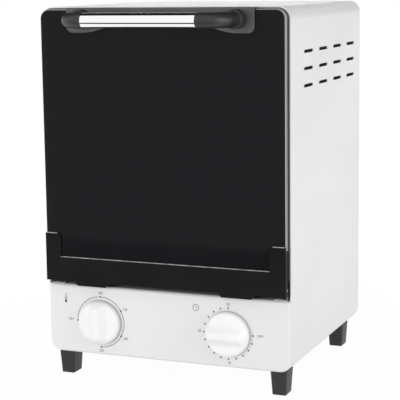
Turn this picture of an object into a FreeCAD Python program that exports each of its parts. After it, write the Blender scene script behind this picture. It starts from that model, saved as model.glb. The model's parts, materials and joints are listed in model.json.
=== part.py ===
"""Dry heat sterilizer: white steel casing, drop-down glass door, two dials, wire rack.

Frame: millimetres, +Z up, -Y is the front, origin under the middle of the whole object.
Inside each sub-part, y is measured from the front plane of the control panel.
"""
import FreeCAD
import Part
import Sketcher
import math
import os

V = FreeCAD.Vector

# Driving dimensions: alias, millimetres (or a count or degrees), meaning
SIZES = (
    ("BodyWidth", 260, "casing width"),
    ("BodyDepth", 238, "control panel front to back panel rear"),
    ("BodyHeight", 350, "casing height without feet"),
    ("FootHeight", 25, "height of the feet"),
    ("EdgeRadius", 12, "long rounded edges of the casing"),
    ("CaseSheet", 1, "casing sheet thickness"),
    ("SheetGap", 0.3, "play between nested sheets"),
    ("SeamGap", 0.2, "seam between panel and wrap"),
    ("WrapSetback", 1, "front edge of the wrap behind the panel plane"),
    ("BottomFlange", 18, "flat width of the turned-in bottom flanges"),
    ("RearFlange", 12, "width of the turned-in rear flange"),
    ("VentLength", 28, "vent slot length"),
    ("VentHeight", 3.2, "vent slot height"),
    ("VentPitch", 48.2, "vent slot spacing along the side"),
    ("VentRowPitch", 16.5, "vent row spacing"),
    ("VentColumns", 4, "vent slots in a row"),
    ("VentRows", 3, "rows of vent slots"),
    ("VentStart", 41.8, "front end of the first side slot"),
    ("VentDrop", 43.9, "top row of vent slots below the casing top"),
    ("BaseVentLow", 40, "lowest rear vent row above the casing bottom"),
    ("PanelHeight", 71, "control panel height"),
    ("PanelBend", 3, "bend radius round the control panel"),
    ("PanelLip", 3.5, "depth of the control panel's outer lip"),
    ("LedgeDepth", 15, "depth of the ledge on top of the control panel"),
    ("FrameSetback", 1.5, "front frame behind the panel plane"),
    ("FrameDepth", 12, "rear edge of the front frame's flange"),
    ("CavityInset", 18, "cavity wall in from the casing side"),
    ("CavityFloor", 83, "cavity floor above the casing bottom"),
    ("CavityDrop", 25, "cavity roof below the casing top"),
    ("CavityRear", 26, "cavity's back wall in front of the back panel's rear"),
    ("SillRise", 8, "sill above the cavity floor"),
    ("OpeningRise", 4, "opening's lower edge above the sill"),
    ("OpeningDrop", 4, "opening's upper edge below the cavity roof"),
    ("OpeningRadius", 6, "corner radius of the opening"),
    ("SillLip", 3.5, "upturned lip of the sill"),
    ("ShieldDrop", 6, "heat shield below the cavity floor"),
    ("ShieldFlange", 11, "side flange of the heat shield"),
    ("ShieldRear", 20, "heat shield's rear edge in front of the back panel's rear"),
    ("PressDepth", 2, "depth of the pressed fields in the cavity sheets"),
    ("PressMargin", 22, "border round the pressed fields"),
    ("GuideReach", 5, "rack guides proud of the cavity wall"),
    ("GuideHeight", 7, "height of a rack guide"),
    ("GuidePitch", 62, "rack guide spacing"),
    ("GuideCount", 3, "rack guides on each wall"),
    ("GuideFront", 14, "front end of the rack guides"),
    ("GuideRear", 8, "rear end of the rack guides in front of the cavity's back wall"),
    ("BracketSpan", 120, "spacing of the brackets behind the cavity"),
    ("BracketFoot", 20, "width of a bracket's feet"),
    ("BracketHeight", 40, "height of a bracket"),
    ("RodDiameter", 6.5, "heating rod"),
    ("RodPin", 3, "terminal pin of a heating rod"),
    ("RodFront", 60, "front heating rods"),
    ("RodRear", 62, "rear heating rods in front of the cavity's back wall"),
    ("RodInset", 12, "upper rods below the roof"),
    ("LowRodRise", 9.5, "lower rods above the floor"),
    ("RodOverhang", 4, "rod sheath past the cavity wall"),
    ("PinLength", 7, "terminal pin length"),
    ("BushSpigot", 9, "ceramic bush in the wall"),
    ("BushFlange", 14, "ceramic bush flange"),
    ("BushThickness", 4, "ceramic bush flange thickness"),
    ("RunningGap", 0.05, "radial play of shafts and pins"),
    ("FitGap", 0.1, "radial play of fixed fits"),
    ("RackPlay", 1.5, "play between the rack and each cavity wall"),
    ("RackRear", 16.5, "centre of the rack's rear bar in front of the cavity's back wall"),
    ("RackFront", 4.5, "centre of the rack's front bar"),
    ("RackFrameWire", 5, "rack frame wire"),
    ("RackCrossWire", 3, "rack cross wire"),
    ("RackRise", 22, "underside of the rack above the cavity floor"),
    ("RackCorner", 14, "corner radius of the rack frame"),
    ("RackPitch", 22.5, "cross wire spacing"),
    ("RackWires", 9, "number of cross wires"),
    ("RestGap", 0.3, "play where a moving piece rests"),
    ("HingeRise", 11.5, "hinge axis above the ledge"),
    ("HingeForward", 3.5, "hinge axis in front of the panel plane"),
    ("PinDiameter", 3, "hinge pin"),
    ("PinCollar", 4.8, "hinge pin collar"),
    ("PinReach", 13.3, "hinge pin length"),
    ("EyeDiameter", 5.8, "eye of the hinge bracket"),
    ("HingeArm", 2.5, "thickness of the bracket's arm"),
    ("HingeInset", 9.5, "bracket's arm in from the casing side"),
    ("HingeFoot", 14.5, "width of the hinge bracket's foot"),
    ("HingeSheet", 1.2, "thickness of the hinge bracket's foot"),
    ("GlassInset", 0.4, "edge of the glass in from the rail's end"),
    ("GlassThickness", 5, "door glass thickness"),
    ("GlassGap", 1.2, "glass back in front of the panel plane"),
    ("GlassDrop", 2.3, "glass top below the casing top"),
    ("GlassRadius", 9, "upper corners of the glass"),
    ("GlassChamfer", 0.6, "ground edge of the glass"),
    ("Packing", 0.6, "soft packing thickness"),
    ("RailSheet", 1.2, "door rail sheet thickness"),
    ("RailInset", 2.2, "rail's end in from the casing side"),
    ("RailClear", 5, "rail's lower edge above the ledge"),
    ("RailHeight", 25, "height of the rail between the ears"),
    ("EarHeight", 49, "height of the rail's ears"),
    ("EarWidth", 16.8, "width of an ear"),
    ("EarRadius", 4, "rounded corner of an ear"),
    ("TabInset", 31.8, "outer end of a rail tab in from the rail's end"),
    ("TabWidth", 37, "width of a rail tab"),
    ("TabDrop", 4, "depth of a rail tab"),
    ("TabSlope", 3, "slope at a tab's ends"),
    ("ChannelInset", 17.8, "rail channel in from the rail's end"),
    ("ChannelRear", 21, "height of the channel's rear wall"),
    ("ArmSheet", 1.5, "thickness of the door's hinge arm"),
    ("ArmRise", 15, "lower edge of the hinge arm above the axis"),
    ("ArmHeight", 23, "height of the hinge arm's base"),
    ("ArmReach", 25, "hinge arm behind the axis"),
    ("ArmTip", 12, "height of the hinge arm's tip"),
    ("SpringDiameter", 8, "door spring coil"),
    ("SpringWire", 1.2, "door spring wire"),
    ("SpringLength", 48, "door spring coil length"),
    ("SpringHook", 8, "door spring hook length"),
    ("AnchorSheet", 2, "spring anchor tab thickness"),
    ("HandleInset", 46.9, "handle's feet in from the edge of the glass"),
    ("HandleReach", 45, "bar axis in front of the glass"),
    ("HandleDrop", 11.4, "bar axis below the casing top"),
    ("BarDiameter", 12.4, "handle bar"),
    ("BarWall", 1.2, "handle bar wall"),
    ("ElbowReach", 22.5, "elbow's end in from the centre of its foot"),
    ("BarSocket", 8, "bar inside an elbow"),
    ("ElbowDiameter", 14.5, "handle elbow"),
    ("ElbowBend", 14, "bend radius of an elbow"),
    ("ElbowFoot", 18.5, "round foot of an elbow"),
    ("FootLength", 10, "length of an elbow's foot"),
    ("PlateSheet", 1, "handle plate sheet thickness"),
    ("PlateOverhang", 17.5, "handle plate past the centres of the handle's feet"),
    ("PlateHeight", 24, "handle plate height at its ends"),
    ("PlateWaist", 16, "handle plate height in the middle"),
    ("PlateRadius", 6.5, "handle plate corners"),
    ("PlateFold", 12, "plate's fold behind the glass"),
    ("BoltDiameter", 5, "handle bolt"),
    ("BoltHead", 8.5, "handle bolt head"),
    ("BoltHeadHeight", 2, "handle bolt head height"),
    ("BoltDepth", 8, "handle bolt in the elbow"),
    ("BoltRoom", 2, "room round the bolt heads in the front frame"),
    ("BoltPlay", 0.5, "radial play of the bolts in glass and packing"),
    ("DialHeight", 34.3, "dial centres above the casing bottom"),
    ("TemperatureOffset", 72, "temperature dial left of the middle"),
    ("TimerOffset", 66, "timer dial right of the middle"),
    ("KnobDiameter", 45.8, "knob at its rim"),
    ("KnobGap", 0.6, "knob in front of the panel"),
    ("KnobRim", 1.8, "height of the knob's rim"),
    ("KnobShoulder", 40.6, "knob at its shoulder"),
    ("KnobShoulderHeight", 6.6, "shoulder in front of the panel"),
    ("KnobCrown", 9, "knob's crown in front of the panel"),
    ("KnobWall", 2, "knob wall"),
    ("KnobBoss", 12, "knob boss"),
    ("GripWidth", 15, "knob grip width"),
    ("GripLength", 39, "knob grip length"),
    ("GripHeight", 14.5, "grip top in front of the panel"),
    ("GripTaper", 6, "side slope of the grip, degrees"),
    ("GripRound", 2.4, "rounding of the grip's top edges"),
    ("ShaftDiameter", 6, "dial shafts"),
    ("ShaftFront", 12, "shaft end in front of the panel"),
    ("ShaftRear", 11.5, "shaft end behind the panel plane"),
    ("ShaftFlat", 1.5, "depth of the shaft's flat"),
    ("FlatLength", 7, "length of the shaft's flat"),
    ("NeckDiameter", 11.6, "necks of thermostat and timer"),
    ("NeckReach", 3, "necks in front of the panel plane"),
    ("NutAcross", 17, "thermostat nut across flats"),
    ("NutThickness", 2, "thermostat nut"),
    ("ThermostatWidth", 34, "thermostat body width"),
    ("ThermostatHeight", 42, "thermostat body height"),
    ("ThermostatDepth", 25, "thermostat body depth"),
    ("BladeWidth", 6.3, "connector blade width"),
    ("BladeThickness", 0.8, "connector blade thickness"),
    ("BladeLength", 8, "connector blade length"),
    ("BladeSpan", 16, "connector blade spacing"),
    ("TubeDiameter", 2, "sensing tube"),
    ("TubeBend", 6, "sensing tube bend radius"),
    ("TubeRear", 12, "sensing tube behind the cavity's back wall"),
    ("BulbDiameter", 5, "sensing bulb"),
    ("BulbLength", 70, "sensing bulb length"),
    ("BulbDrop", 55, "sensing bulb below the casing top"),
    ("BulbOffset", 6, "sensing bulb in front of the cavity's back wall"),
    ("ClipWidth", 6, "bulb clip width"),
    ("ClipInset", 14, "bulb clips in from the bulb's ends"),
    ("TimerSize", 46, "timer body width and height"),
    ("TimerDepth", 26, "timer body depth"),
    ("TimerRadius", 6, "timer body corners"),
    ("BellDiameter", 38, "timer bell"),
    ("BellDepth", 9, "timer bell depth"),
    ("BellPost", 4, "timer bell post"),
    ("BellGap", 2, "bell behind the timer body"),
    ("TimerScrewSpan", 28, "timer screw spacing"),
    ("BlockWidth", 36, "terminal block width"),
    ("BlockDepth", 18, "terminal block depth"),
    ("BlockHeight", 12, "terminal block height"),
    ("BlockBarrel", 5, "terminal block bores"),
    ("BlockPitch", 11, "terminal spacing"),
    ("BlockStep", 0.5, "screw bores smaller than the wire bores, in radius"),
    ("BlockRear", 30, "terminal block in front of the back panel"),
    ("GlandInset", 40, "cord gland in from the casing side"),
    ("GlandRise", 27, "cord gland above the casing bottom"),
    ("GlandHole", 16, "gland hole in the back panel"),
    ("GlandFlange", 22, "gland flange"),
    ("GlandProud", 5, "gland behind the back panel"),
    ("GlandBore", 8, "gland bore"),
    ("FootInset", 15, "foot centres in from the casing side"),
    ("FootFront", 17, "front feet centres"),
    ("FootRear", 29.5, "rear feet centres in front of the back panel's rear"),
    ("FootWidth", 14, "foot width at the floor"),
    ("FootDepth", 18, "foot depth at the floor"),
    ("FootSpread", 3, "extra width and depth at the top"),
    ("FootSeat", 8, "foot material under the screw head"),
    ("FootScrew", 4, "foot screw"),
    ("FootScrewHead", 8, "foot screw head"),
    ("HeadRoom", 0.5, "room round a foot screw's head"),
    ("ScrewHeadHeight", 2, "height of the screw heads"),
    ("SmallScrew", 3, "casing screws"),
    ("SmallHead", 6.4, "casing screw heads"),
    ("ScrewLength", 6, "casing screws past the sheet"),
    ("BracketScrew", 2.4, "hinge bracket screws"),
    ("BracketHead", 4.4, "hinge bracket screw heads"),
    ("BracketHeadHeight", 1.4, "height of the hinge bracket screw heads"),
    ("BackMargin", 7, "casing screws in from the edge"),
    ("BackSideInset", 70, "side screws of the back in from its top and bottom"),
    ("BackEndInset", 65, "end screws of the back in from the casing side"),
)


class Size(float):
    """A length that remembers the sheet formula that it comes from."""

    def __new__(cls, value, text):
        size = float.__new__(cls, value)
        size.text = text
        return size

    def __add__(self, other):
        return Size(float(self) + float(other), "(%s + %s)" % (self.text, text_of(other)))

    def __radd__(self, other):
        return Size(float(other) + float(self), "(%s + %s)" % (text_of(other), self.text))

    def __sub__(self, other):
        return Size(float(self) - float(other), "(%s - %s)" % (self.text, text_of(other)))

    def __rsub__(self, other):
        return Size(float(other) - float(self), "(%s - %s)" % (text_of(other), self.text))

    def __mul__(self, other):
        return Size(float(self) * float(other), "(%s * %s)" % (self.text, text_of(other)))

    __rmul__ = __mul__

    def __truediv__(self, other):
        return Size(float(self) / float(other), "(%s / %s)" % (self.text, text_of(other)))

    def __neg__(self):
        return Size(-float(self), "(-1 * %s)" % self.text)


def text_of(value):
    return value.text if isinstance(value, Size) else repr(float(value))


def distance(across, along):
    """Length of a slanting line from its two legs."""
    return Size(math.hypot(across, along), "sqrt(%s ^ 2 + %s ^ 2)" % (text_of(across), text_of(along)))


doc = FreeCAD.newDocument("Sterilizer")
sheet = doc.addObject("Spreadsheet::Sheet", "Sizes")


class Named:
    """The driving dimensions as attributes, such as size.BodyWidth."""


size = Named()
for row, (alias, value, meaning) in enumerate(SIZES, start=1):
    sheet.set("A%d" % row, alias)
    sheet.set("B%d" % row, str(value))
    sheet.set("C%d" % row, meaning)
    sheet.setAlias("B%d" % row, alias)
    setattr(size, alias, Size(value, "Sizes.%s" % alias))
doc.recompute()

parts = []


def bind(target, name, value):
    """Set a property and tie it to the sheet."""
    if isinstance(value, Size):
        target.setExpression(name, value.text)
    else:
        setattr(target, name, value)


# Places that several pieces share, y from the panel's front plane, z from the floor

half_width = size.BodyWidth / 2
base_z = size.FootHeight
top_z = size.FootHeight + size.BodyHeight
ledge_z = base_z + size.PanelHeight
floor_z = base_z + size.CavityFloor
roof_z = top_z - size.CavityDrop
sill_z = floor_z + size.SillRise
wall_x = half_width - size.CavityInset
wall_outer = wall_x + size.CaseSheet
rear_inner = size.BodyDepth - size.CaseSheet
cavity_rear = size.BodyDepth - size.CavityRear
rod_rows = (size.RodFront, cavity_rear - size.RodRear)
flange_x = half_width - size.CaseSheet - size.SheetGap
frame_back = size.FrameSetback + size.CaseSheet

glass_back = -size.GlassGap
glass_front = glass_back - size.GlassThickness
glass_top = top_z - size.GlassDrop
rail_front = glass_front - size.Packing - size.RailSheet
rail_z = ledge_z + size.RailClear
rail_x = half_width - size.RailInset
glass_x = rail_x - size.GlassInset
rail_back = glass_back + size.Packing + size.RailSheet
ear_x = rail_x - size.EarWidth
ear_top = rail_z + size.EarHeight
notch_z = ear_top - size.EarRadius
channel_x = rail_x - size.ChannelInset
hinge_y = -size.HingeForward
hinge_z = ledge_z + size.HingeRise
arm_x = half_width - size.HingeInset

handle_z = top_z - size.HandleDrop
handle_x = glass_x - size.HandleInset
plate_x = handle_x + size.PlateOverhang
bar_end = handle_x - size.ElbowReach
plate_front = glass_front - size.Packing - size.PlateSheet
bar_y = glass_front - size.HandleReach
plate_top = glass_top + size.Packing + size.PlateSheet

dial_z = base_z + size.DialHeight
rack_z = floor_z + size.RackRise + size.RackFrameWire / 2
upper_rod_z = roof_z - size.RodInset
lower_rod_z = floor_z + size.LowRodRise
foot_x = half_width - size.FootInset
foot_spots = [(sx * foot_x, y) for sx in (-1, 1) for y in (size.FootFront, size.BodyDepth - size.FootRear)]
gland_x = half_width - size.GlandInset

front_reach = size.ElbowDiameter / 2 - bar_y
back_reach = size.BodyDepth + size.GlandProud
panel_y = (front_reach - back_reach) / 2


# Outlines: a list of (x, y) or (x, y, corner radius) is a polygon

class Circle:
    def __init__(self, x, y, radius):
        self.x = x
        self.y = y
        self.radius = radius


class Path:
    """An open line through its corners, for a tube to follow."""

    def __init__(self, *corners):
        self.corners = corners


class Slot:
    """A slot along x, from the centre of its first round end."""

    def __init__(self, x, y, length, width):
        self.start = (x, y)
        self.end = (x + length - width, y)
        self.radius = width / 2


def rectangle(x_low, y_low, x_high, y_high, radius=0):
    return [(x_low, y_low, radius), (x_high, y_low, radius),
            (x_high, y_high, radius), (x_low, y_high, radius)]


def both_sides(corners):
    """The corners of the right half, then the same mirrored on the left."""
    return corners + [(-corner[0],) + tuple(corner[1:]) for corner in reversed(corners)]


def hexagon(x, y, across):
    corner = across / math.sqrt(3)
    return [(x + corner * math.cos(math.radians(60 * k)), y + corner * math.sin(math.radians(60 * k)))
            for k in range(6)]


def pin_point(sketch, item, end, x, y):
    """Fix one point of the sketch at x, y from the sketch's origin."""
    for kind, value, axis in (("DistanceX", x, -2), ("DistanceY", y, -1)):
        if abs(float(value)) < 1e-9:
            sketch.addConstraint(Sketcher.Constraint("PointOnObject", item, end, axis))
            continue
        if float(value) > 0:
            index = sketch.addConstraint(Sketcher.Constraint(kind, -1, 1, item, end, float(value)))
            formula = value
        else:
            index = sketch.addConstraint(Sketcher.Constraint(kind, item, end, -1, 1, -float(value)))
            formula = -value
        if isinstance(formula, Size):
            sketch.setExpression("Constraints[%d]" % index, formula.text)


def set_radius(sketch, item, radius):
    index = sketch.addConstraint(Sketcher.Constraint("Radius", item, float(radius)))
    if isinstance(radius, Size):
        sketch.setExpression("Constraints[%d]" % index, radius.text)


def draw_circle(sketch, circle):
    middle = V(float(circle.x), float(circle.y), 0)
    item = sketch.addGeometry(Part.Circle(middle, V(0, 0, 1), float(circle.radius)), False)
    set_radius(sketch, item, circle.radius)
    pin_point(sketch, item, 3, circle.x, circle.y)


def draw_slot(sketch, slot):
    """Two half circles joined by two tangent lines."""
    start = V(float(slot.start[0]), float(slot.start[1]), 0)
    end = V(float(slot.end[0]), float(slot.end[1]), 0)
    radius = float(slot.radius)
    turn = math.atan2(end.y - start.y, end.x - start.x)
    side = V(-math.sin(turn), math.cos(turn), 0) * radius
    quarter = math.pi / 2
    round_start = Part.Circle(start, V(0, 0, 1), radius)
    round_end = Part.Circle(end, V(0, 0, 1), radius)
    first = sketch.addGeometry(Part.ArcOfCircle(round_start, turn + quarter, turn + 3 * quarter), False)
    last = sketch.addGeometry(Part.ArcOfCircle(round_end, turn - quarter, turn + quarter), False)
    near = sketch.addGeometry(Part.LineSegment(start - side, end - side), False)
    far = sketch.addGeometry(Part.LineSegment(end + side, start + side), False)
    meetings = ((first, 2, near, 1), (last, 1, near, 2), (last, 2, far, 1), (first, 1, far, 2))
    for arc, arc_end, line, line_end in meetings:
        sketch.addConstraint(Sketcher.Constraint("Tangent", arc, arc_end, line, line_end))
    sketch.addConstraint(Sketcher.Constraint("Equal", first, last))
    set_radius(sketch, first, slot.radius)
    pin_point(sketch, first, 3, slot.start[0], slot.start[1])
    pin_point(sketch, last, 3, slot.end[0], slot.end[1])


def draw_polygon(sketch, corners, closed=True):
    """Straight edges between the corners, with an arc at each corner that has a radius."""
    count = len(corners)
    spots = [V(float(corner[0]), float(corner[1]), 0) for corner in corners]
    radii = [corner[2] if len(corner) > 2 else 0 for corner in corners]
    trims = []
    for k in range(count):
        before = (spots[k - 1] - spots[k]).normalize()
        after = (spots[(k + 1) % count] - spots[k]).normalize()
        half = before.getAngle(after) / 2
        trims.append((before, after, float(radii[k]) / math.tan(half) if float(radii[k]) else 0.0, half))
    lines = []
    for k in range(count if closed else count - 1):
        following = (k + 1) % count
        start = spots[k] + trims[k][1] * trims[k][2]
        end = spots[following] + trims[following][0] * trims[following][2]
        lines.append(sketch.addGeometry(Part.LineSegment(start, end), False))
    if not closed:
        pin_point(sketch, lines[0], 1, corners[0][0], corners[0][1])
        pin_point(sketch, lines[-1], 2, corners[-1][0], corners[-1][1])
    for k in range(count) if closed else range(1, count - 1):
        before, after, trim, half = trims[k]
        line_in = lines[k - 1]
        line_out = lines[k]
        x, y = corners[k][0], corners[k][1]
        if not trim:
            pin_point(sketch, line_in, 2, x, y)
            sketch.addConstraint(Sketcher.Constraint("Coincident", line_in, 2, line_out, 1))
            continue
        middle = spots[k] + (before + after).normalize() * (float(radii[k]) / math.sin(half))
        first = spots[k] + before * trim - middle
        last = spots[k] + after * trim - middle
        turns_left = first.cross(last).z > 0
        ends = (first, last) if turns_left else (last, first)
        angles = [math.atan2(vector.y, vector.x) for vector in ends]
        if angles[1] < angles[0]:
            angles[1] += 2 * math.pi
        circle = Part.Circle(middle, V(0, 0, 1), float(radii[k]))
        arc = sketch.addGeometry(Part.ArcOfCircle(circle, angles[0], angles[1]), False)
        corner = sketch.addGeometry(Part.Point(spots[k]), True)
        pin_point(sketch, corner, 1, x, y)
        sketch.addConstraint(Sketcher.Constraint("PointOnObject", corner, 1, line_in))
        sketch.addConstraint(Sketcher.Constraint("PointOnObject", corner, 1, line_out))
        sketch.addConstraint(Sketcher.Constraint("Tangent", line_in, 2, arc, 1 if turns_left else 2))
        sketch.addConstraint(Sketcher.Constraint("Tangent", line_out, 1, arc, 2 if turns_left else 1))
        set_radius(sketch, arc, radii[k])


def draw(body, plane, place, loops):
    """A sketch across the plane's axis at the given place, holding the loops."""
    sketch = body.newObject("Sketcher::SketchObject", body.Name + "_sketch")
    support = [item for item in body.Origin.OriginFeatures if item.Role == plane + "_Plane"][0]
    sketch.AttachmentSupport = [(support, "")]
    sketch.MapMode = "FlatFace"
    height = -place if plane == "XZ" else place
    sketch.AttachmentOffset = FreeCAD.Placement(V(0, 0, float(height)), FreeCAD.Rotation())
    if isinstance(height, Size):
        sketch.setExpression("AttachmentOffset.Base.z", height.text)
    for loop in loops:
        if isinstance(loop, Circle):
            draw_circle(sketch, loop)
        elif isinstance(loop, Slot):
            draw_slot(sketch, loop)
        elif isinstance(loop, Path):
            draw_polygon(sketch, loop.corners, closed=False)
        else:
            draw_polygon(sketch, loop)
    return sketch


def new_body(name, x=0, z=0):
    """A sub-part whose own origin lies at x, z in the panel's front plane."""
    body = doc.addObject("PartDesign::Body", name)
    body.Label = name
    bind_place(body, x, panel_y, z)
    parts.append(body)
    return body


def bind_place(item, x, y, z):
    item.Placement = FreeCAD.Placement(V(float(x), float(y), float(z)), FreeCAD.Rotation())
    for axis, value in (("x", x), ("y", y), ("z", z)):
        if isinstance(value, Size):
            item.setExpression("Placement.Base." + axis, value.text)


def extrude(body, plane, low, high, *loops):
    """Add the loops between two places along the plane's axis."""
    sketch = draw(body, plane, low, loops)
    pad = body.newObject("PartDesign::Pad", body.Name + "_pad")
    pad.Profile = sketch
    pad.Reversed = plane == "XZ"
    bind(pad, "Length", high - low)
    body.Tip = pad
    return pad


def cut(body, plane, low, high, *loops):
    """Take the loops away between two places along the plane's axis."""
    sketch = draw(body, plane, low, loops)
    pocket = body.newObject("PartDesign::Pocket", body.Name + "_cut")
    pocket.Profile = sketch
    pocket.Reversed = plane != "XZ"
    bind(pocket, "Length", high - low)
    body.Tip = pocket
    return pocket


def spin(body, plane, axis, *loops):
    """Turn the loops round one axis of their sketch."""
    sketch = draw(body, plane, 0, loops)
    turned = body.newObject("PartDesign::Revolution", body.Name + "_turned")
    turned.Profile = sketch
    turned.ReferenceAxis = (sketch, [axis])
    turned.Angle = 360
    body.Tip = turned
    return turned


def sweep(body, path, ring):
    """Carry the ring along every edge of the path."""
    edges = [item for item in range(len(path.Geometry)) if not path.getConstruction(item)]
    tube = body.newObject("PartDesign::AdditivePipe", body.Name + "_tube")
    tube.Profile = ring
    tube.Spine = (path, ["Edge%d" % number for number in range(1, len(edges) + 1)])
    tube.Transition = "Transformed"
    body.Tip = tube


def repeat(body, features, steps):
    """Repeat features in one or two directions: each step is (axis, pitch, count)."""
    pattern = body.newObject("PartDesign::LinearPattern", body.Name + "_pattern")
    pattern.Originals = features
    sketch = features[0].Profile[0]
    for suffix, (axis, pitch, count) in zip(("", "2"), steps):
        setattr(pattern, "Direction" + suffix, (sketch, [axis]))
        setattr(pattern, "Mode" + suffix, "Spacing")
        setattr(pattern, "Occurrences" + suffix, int(count))
        setattr(pattern, "Spacings" + suffix, [-1.0] * (int(count) - 1))
        bind(pattern, "Offset" + suffix, pitch)
        bind(pattern, "Occurrences" + suffix, count)
    body.Tip = pattern
    return pattern


def mirror(body, features):
    """Repeat features on the other side of the middle plane."""
    copy = body.newObject("PartDesign::Mirrored", body.Name + "_mirror")
    copy.Originals = features
    middle = [item for item in body.Origin.OriginFeatures if item.Role == "YZ_Plane"][0]
    copy.MirrorPlane = (middle, [""])
    body.Tip = copy
    return copy


def round_edges(body, radius, wanted, kind="Fillet"):
    """Fillet or chamfer each edge of the body so far for which wanted(edge) is true."""
    doc.recompute()
    base = body.Tip
    names = ["Edge%d" % number for number, edge in enumerate(base.Shape.Edges, start=1) if wanted(edge)]
    feature = body.newObject("PartDesign::" + kind, body.Name + "_edges")
    feature.Base = (base, names)
    bind(feature, "Radius" if kind == "Fillet" else "Size", radius)
    body.Tip = feature
    return feature


def edge_at(axis, place):
    """Test for edges that lie in one plane across the axis."""
    def wanted(edge):
        box = edge.BoundBox
        low, high = (getattr(box, axis + "Min"), getattr(box, axis + "Max"))
        return abs(low - float(place)) < 1e-4 and abs(high - float(place)) < 1e-4
    return wanted


# Casing

def make_outer_wrap():
    """One sheet folded round top and sides, its ends turned in under the casing."""
    body = new_body("outer_wrap")
    inset = half_width - size.CaseSheet
    rear = inset - size.RearFlange
    rear_low = base_z + size.CaseSheet + size.RearFlange
    rear_high = top_z - size.CaseSheet - size.RearFlange
    bottom_x = half_width - size.EdgeRadius - size.BottomFlange
    seam = size.PanelLip + size.SeamGap
    extrude(body, "XZ", size.WrapSetback, rear_inner,
            rectangle(-half_width, base_z, half_width, top_z, size.EdgeRadius))
    cut(body, "XZ", size.WrapSetback, rear_inner - size.CaseSheet,
        rectangle(-inset, base_z + size.CaseSheet, inset, top_z - size.CaseSheet,
                  size.EdgeRadius - size.CaseSheet))
    cut(body, "XZ", size.BodyDepth / 2, size.BodyDepth, rectangle(-rear, rear_low, rear, rear_high))
    cut(body, "XY", base_z, base_z + size.CaseSheet,
        rectangle(-bottom_x, size.WrapSetback, bottom_x, rear_inner - size.CaseSheet))
    cut(body, "XZ", size.WrapSetback, seam,
        rectangle(-half_width, base_z, half_width, ledge_z + size.SeamGap))
    vent_z = top_z - size.VentDrop - (size.VentRows - 1) * size.VentRowPitch
    vent = cut(body, "YZ", -half_width, half_width,
               Slot(size.VentStart + size.VentHeight / 2, vent_z, size.VentLength, size.VentHeight))
    repeat(body, [vent], (("H_Axis", size.VentPitch, size.VentColumns),
                          ("V_Axis", size.VentRowPitch, size.VentRows)))
    cut(body, "XY", base_z, base_z + size.CaseSheet,
        *[Circle(x, y, size.FootScrew / 2 + size.FitGap) for x, y in foot_spots])
    cut(body, "XZ", rear_inner - size.CaseSheet, rear_inner,
        *[Circle(x, z, size.SmallScrew / 2 + size.FitGap) for x, z in back_screw_spots()])


def back_screw_spots():
    """Eight screws round the edge of the back panel: x and z."""
    side_x = half_width - size.BackMargin
    low_z = base_z + size.BackMargin
    high_z = top_z - size.BackMargin
    middle = base_z + size.BodyHeight / 2
    reach = size.BodyHeight / 2 - size.BackSideInset
    end_x = half_width - size.BackEndInset
    sides = [(sx * side_x, middle + sz * reach) for sx in (-1, 1) for sz in (-1, 1)]
    ends = [(sx * end_x, z) for sx in (-1, 1) for z in (low_z, high_z)]
    return sides + ends


def make_back_panel():
    """Flat rear sheet with vents behind the cavity and behind the controls."""
    body = new_body("back_panel")
    edge = size.CaseSheet
    extrude(body, "XZ", rear_inner, size.BodyDepth,
            rectangle(-half_width + edge, base_z + edge, half_width - edge, top_z - edge,
                      size.EdgeRadius - edge))
    first_x = -(size.VentColumns - 1) * size.VentPitch / 2 - size.VentLength / 2 + size.VentHeight / 2
    high_z = top_z - size.VentDrop - (size.VentRows - 1) * size.VentRowPitch
    for low_z, rows in ((high_z, size.VentRows), (base_z + size.BaseVentLow, size.VentRows - 1)):
        vent = cut(body, "XZ", rear_inner, size.BodyDepth,
                   Slot(first_x, low_z, size.VentLength, size.VentHeight))
        repeat(body, [vent], (("H_Axis", size.VentPitch, size.VentColumns),
                              ("V_Axis", size.VentRowPitch, rows)))
    cut(body, "XZ", rear_inner, size.BodyDepth,
        Circle(gland_x, base_z + size.GlandRise, size.GlandHole / 2),
        *[Circle(x, z, size.SmallScrew / 2 + size.FitGap) for x, z in back_screw_spots()])


def make_back_screws():
    body = new_body("back_screws")
    extrude(body, "XZ", size.BodyDepth, size.BodyDepth + size.ScrewHeadHeight,
            *[Circle(x, z, size.SmallHead / 2) for x, z in back_screw_spots()])
    extrude(body, "XZ", size.BodyDepth - size.ScrewLength, size.BodyDepth,
            *[Circle(x, z, size.SmallScrew / 2) for x, z in back_screw_spots()])


def make_bottom_plate():
    """Vented sheet that lies on the wrap's bottom flanges."""
    body = new_body("bottom_plate")
    side = half_width - size.EdgeRadius
    low = base_z + size.CaseSheet
    front = size.LedgeDepth + size.CaseSheet
    rear = rear_inner - 2 * size.CaseSheet
    extrude(body, "XY", low, low + size.CaseSheet, rectangle(-side, front, side, rear, size.CaseSheet))
    first_x = -(size.VentColumns - 1) * size.VentPitch / 2 - size.VentLength / 2 + size.VentHeight / 2
    first_y = size.FootFront + size.FootDepth
    vent = cut(body, "XY", low, low + size.CaseSheet,
               Slot(first_x, first_y, size.VentLength, size.VentHeight))
    repeat(body, [vent], (("H_Axis", size.VentPitch, size.VentColumns),
                          ("V_Axis", size.VentRowPitch, size.VentRows)))
    cut(body, "XY", low, low + size.CaseSheet,
        *[Circle(x, y, size.FootScrew / 2 + size.FitGap) for x, y in foot_spots])


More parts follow.
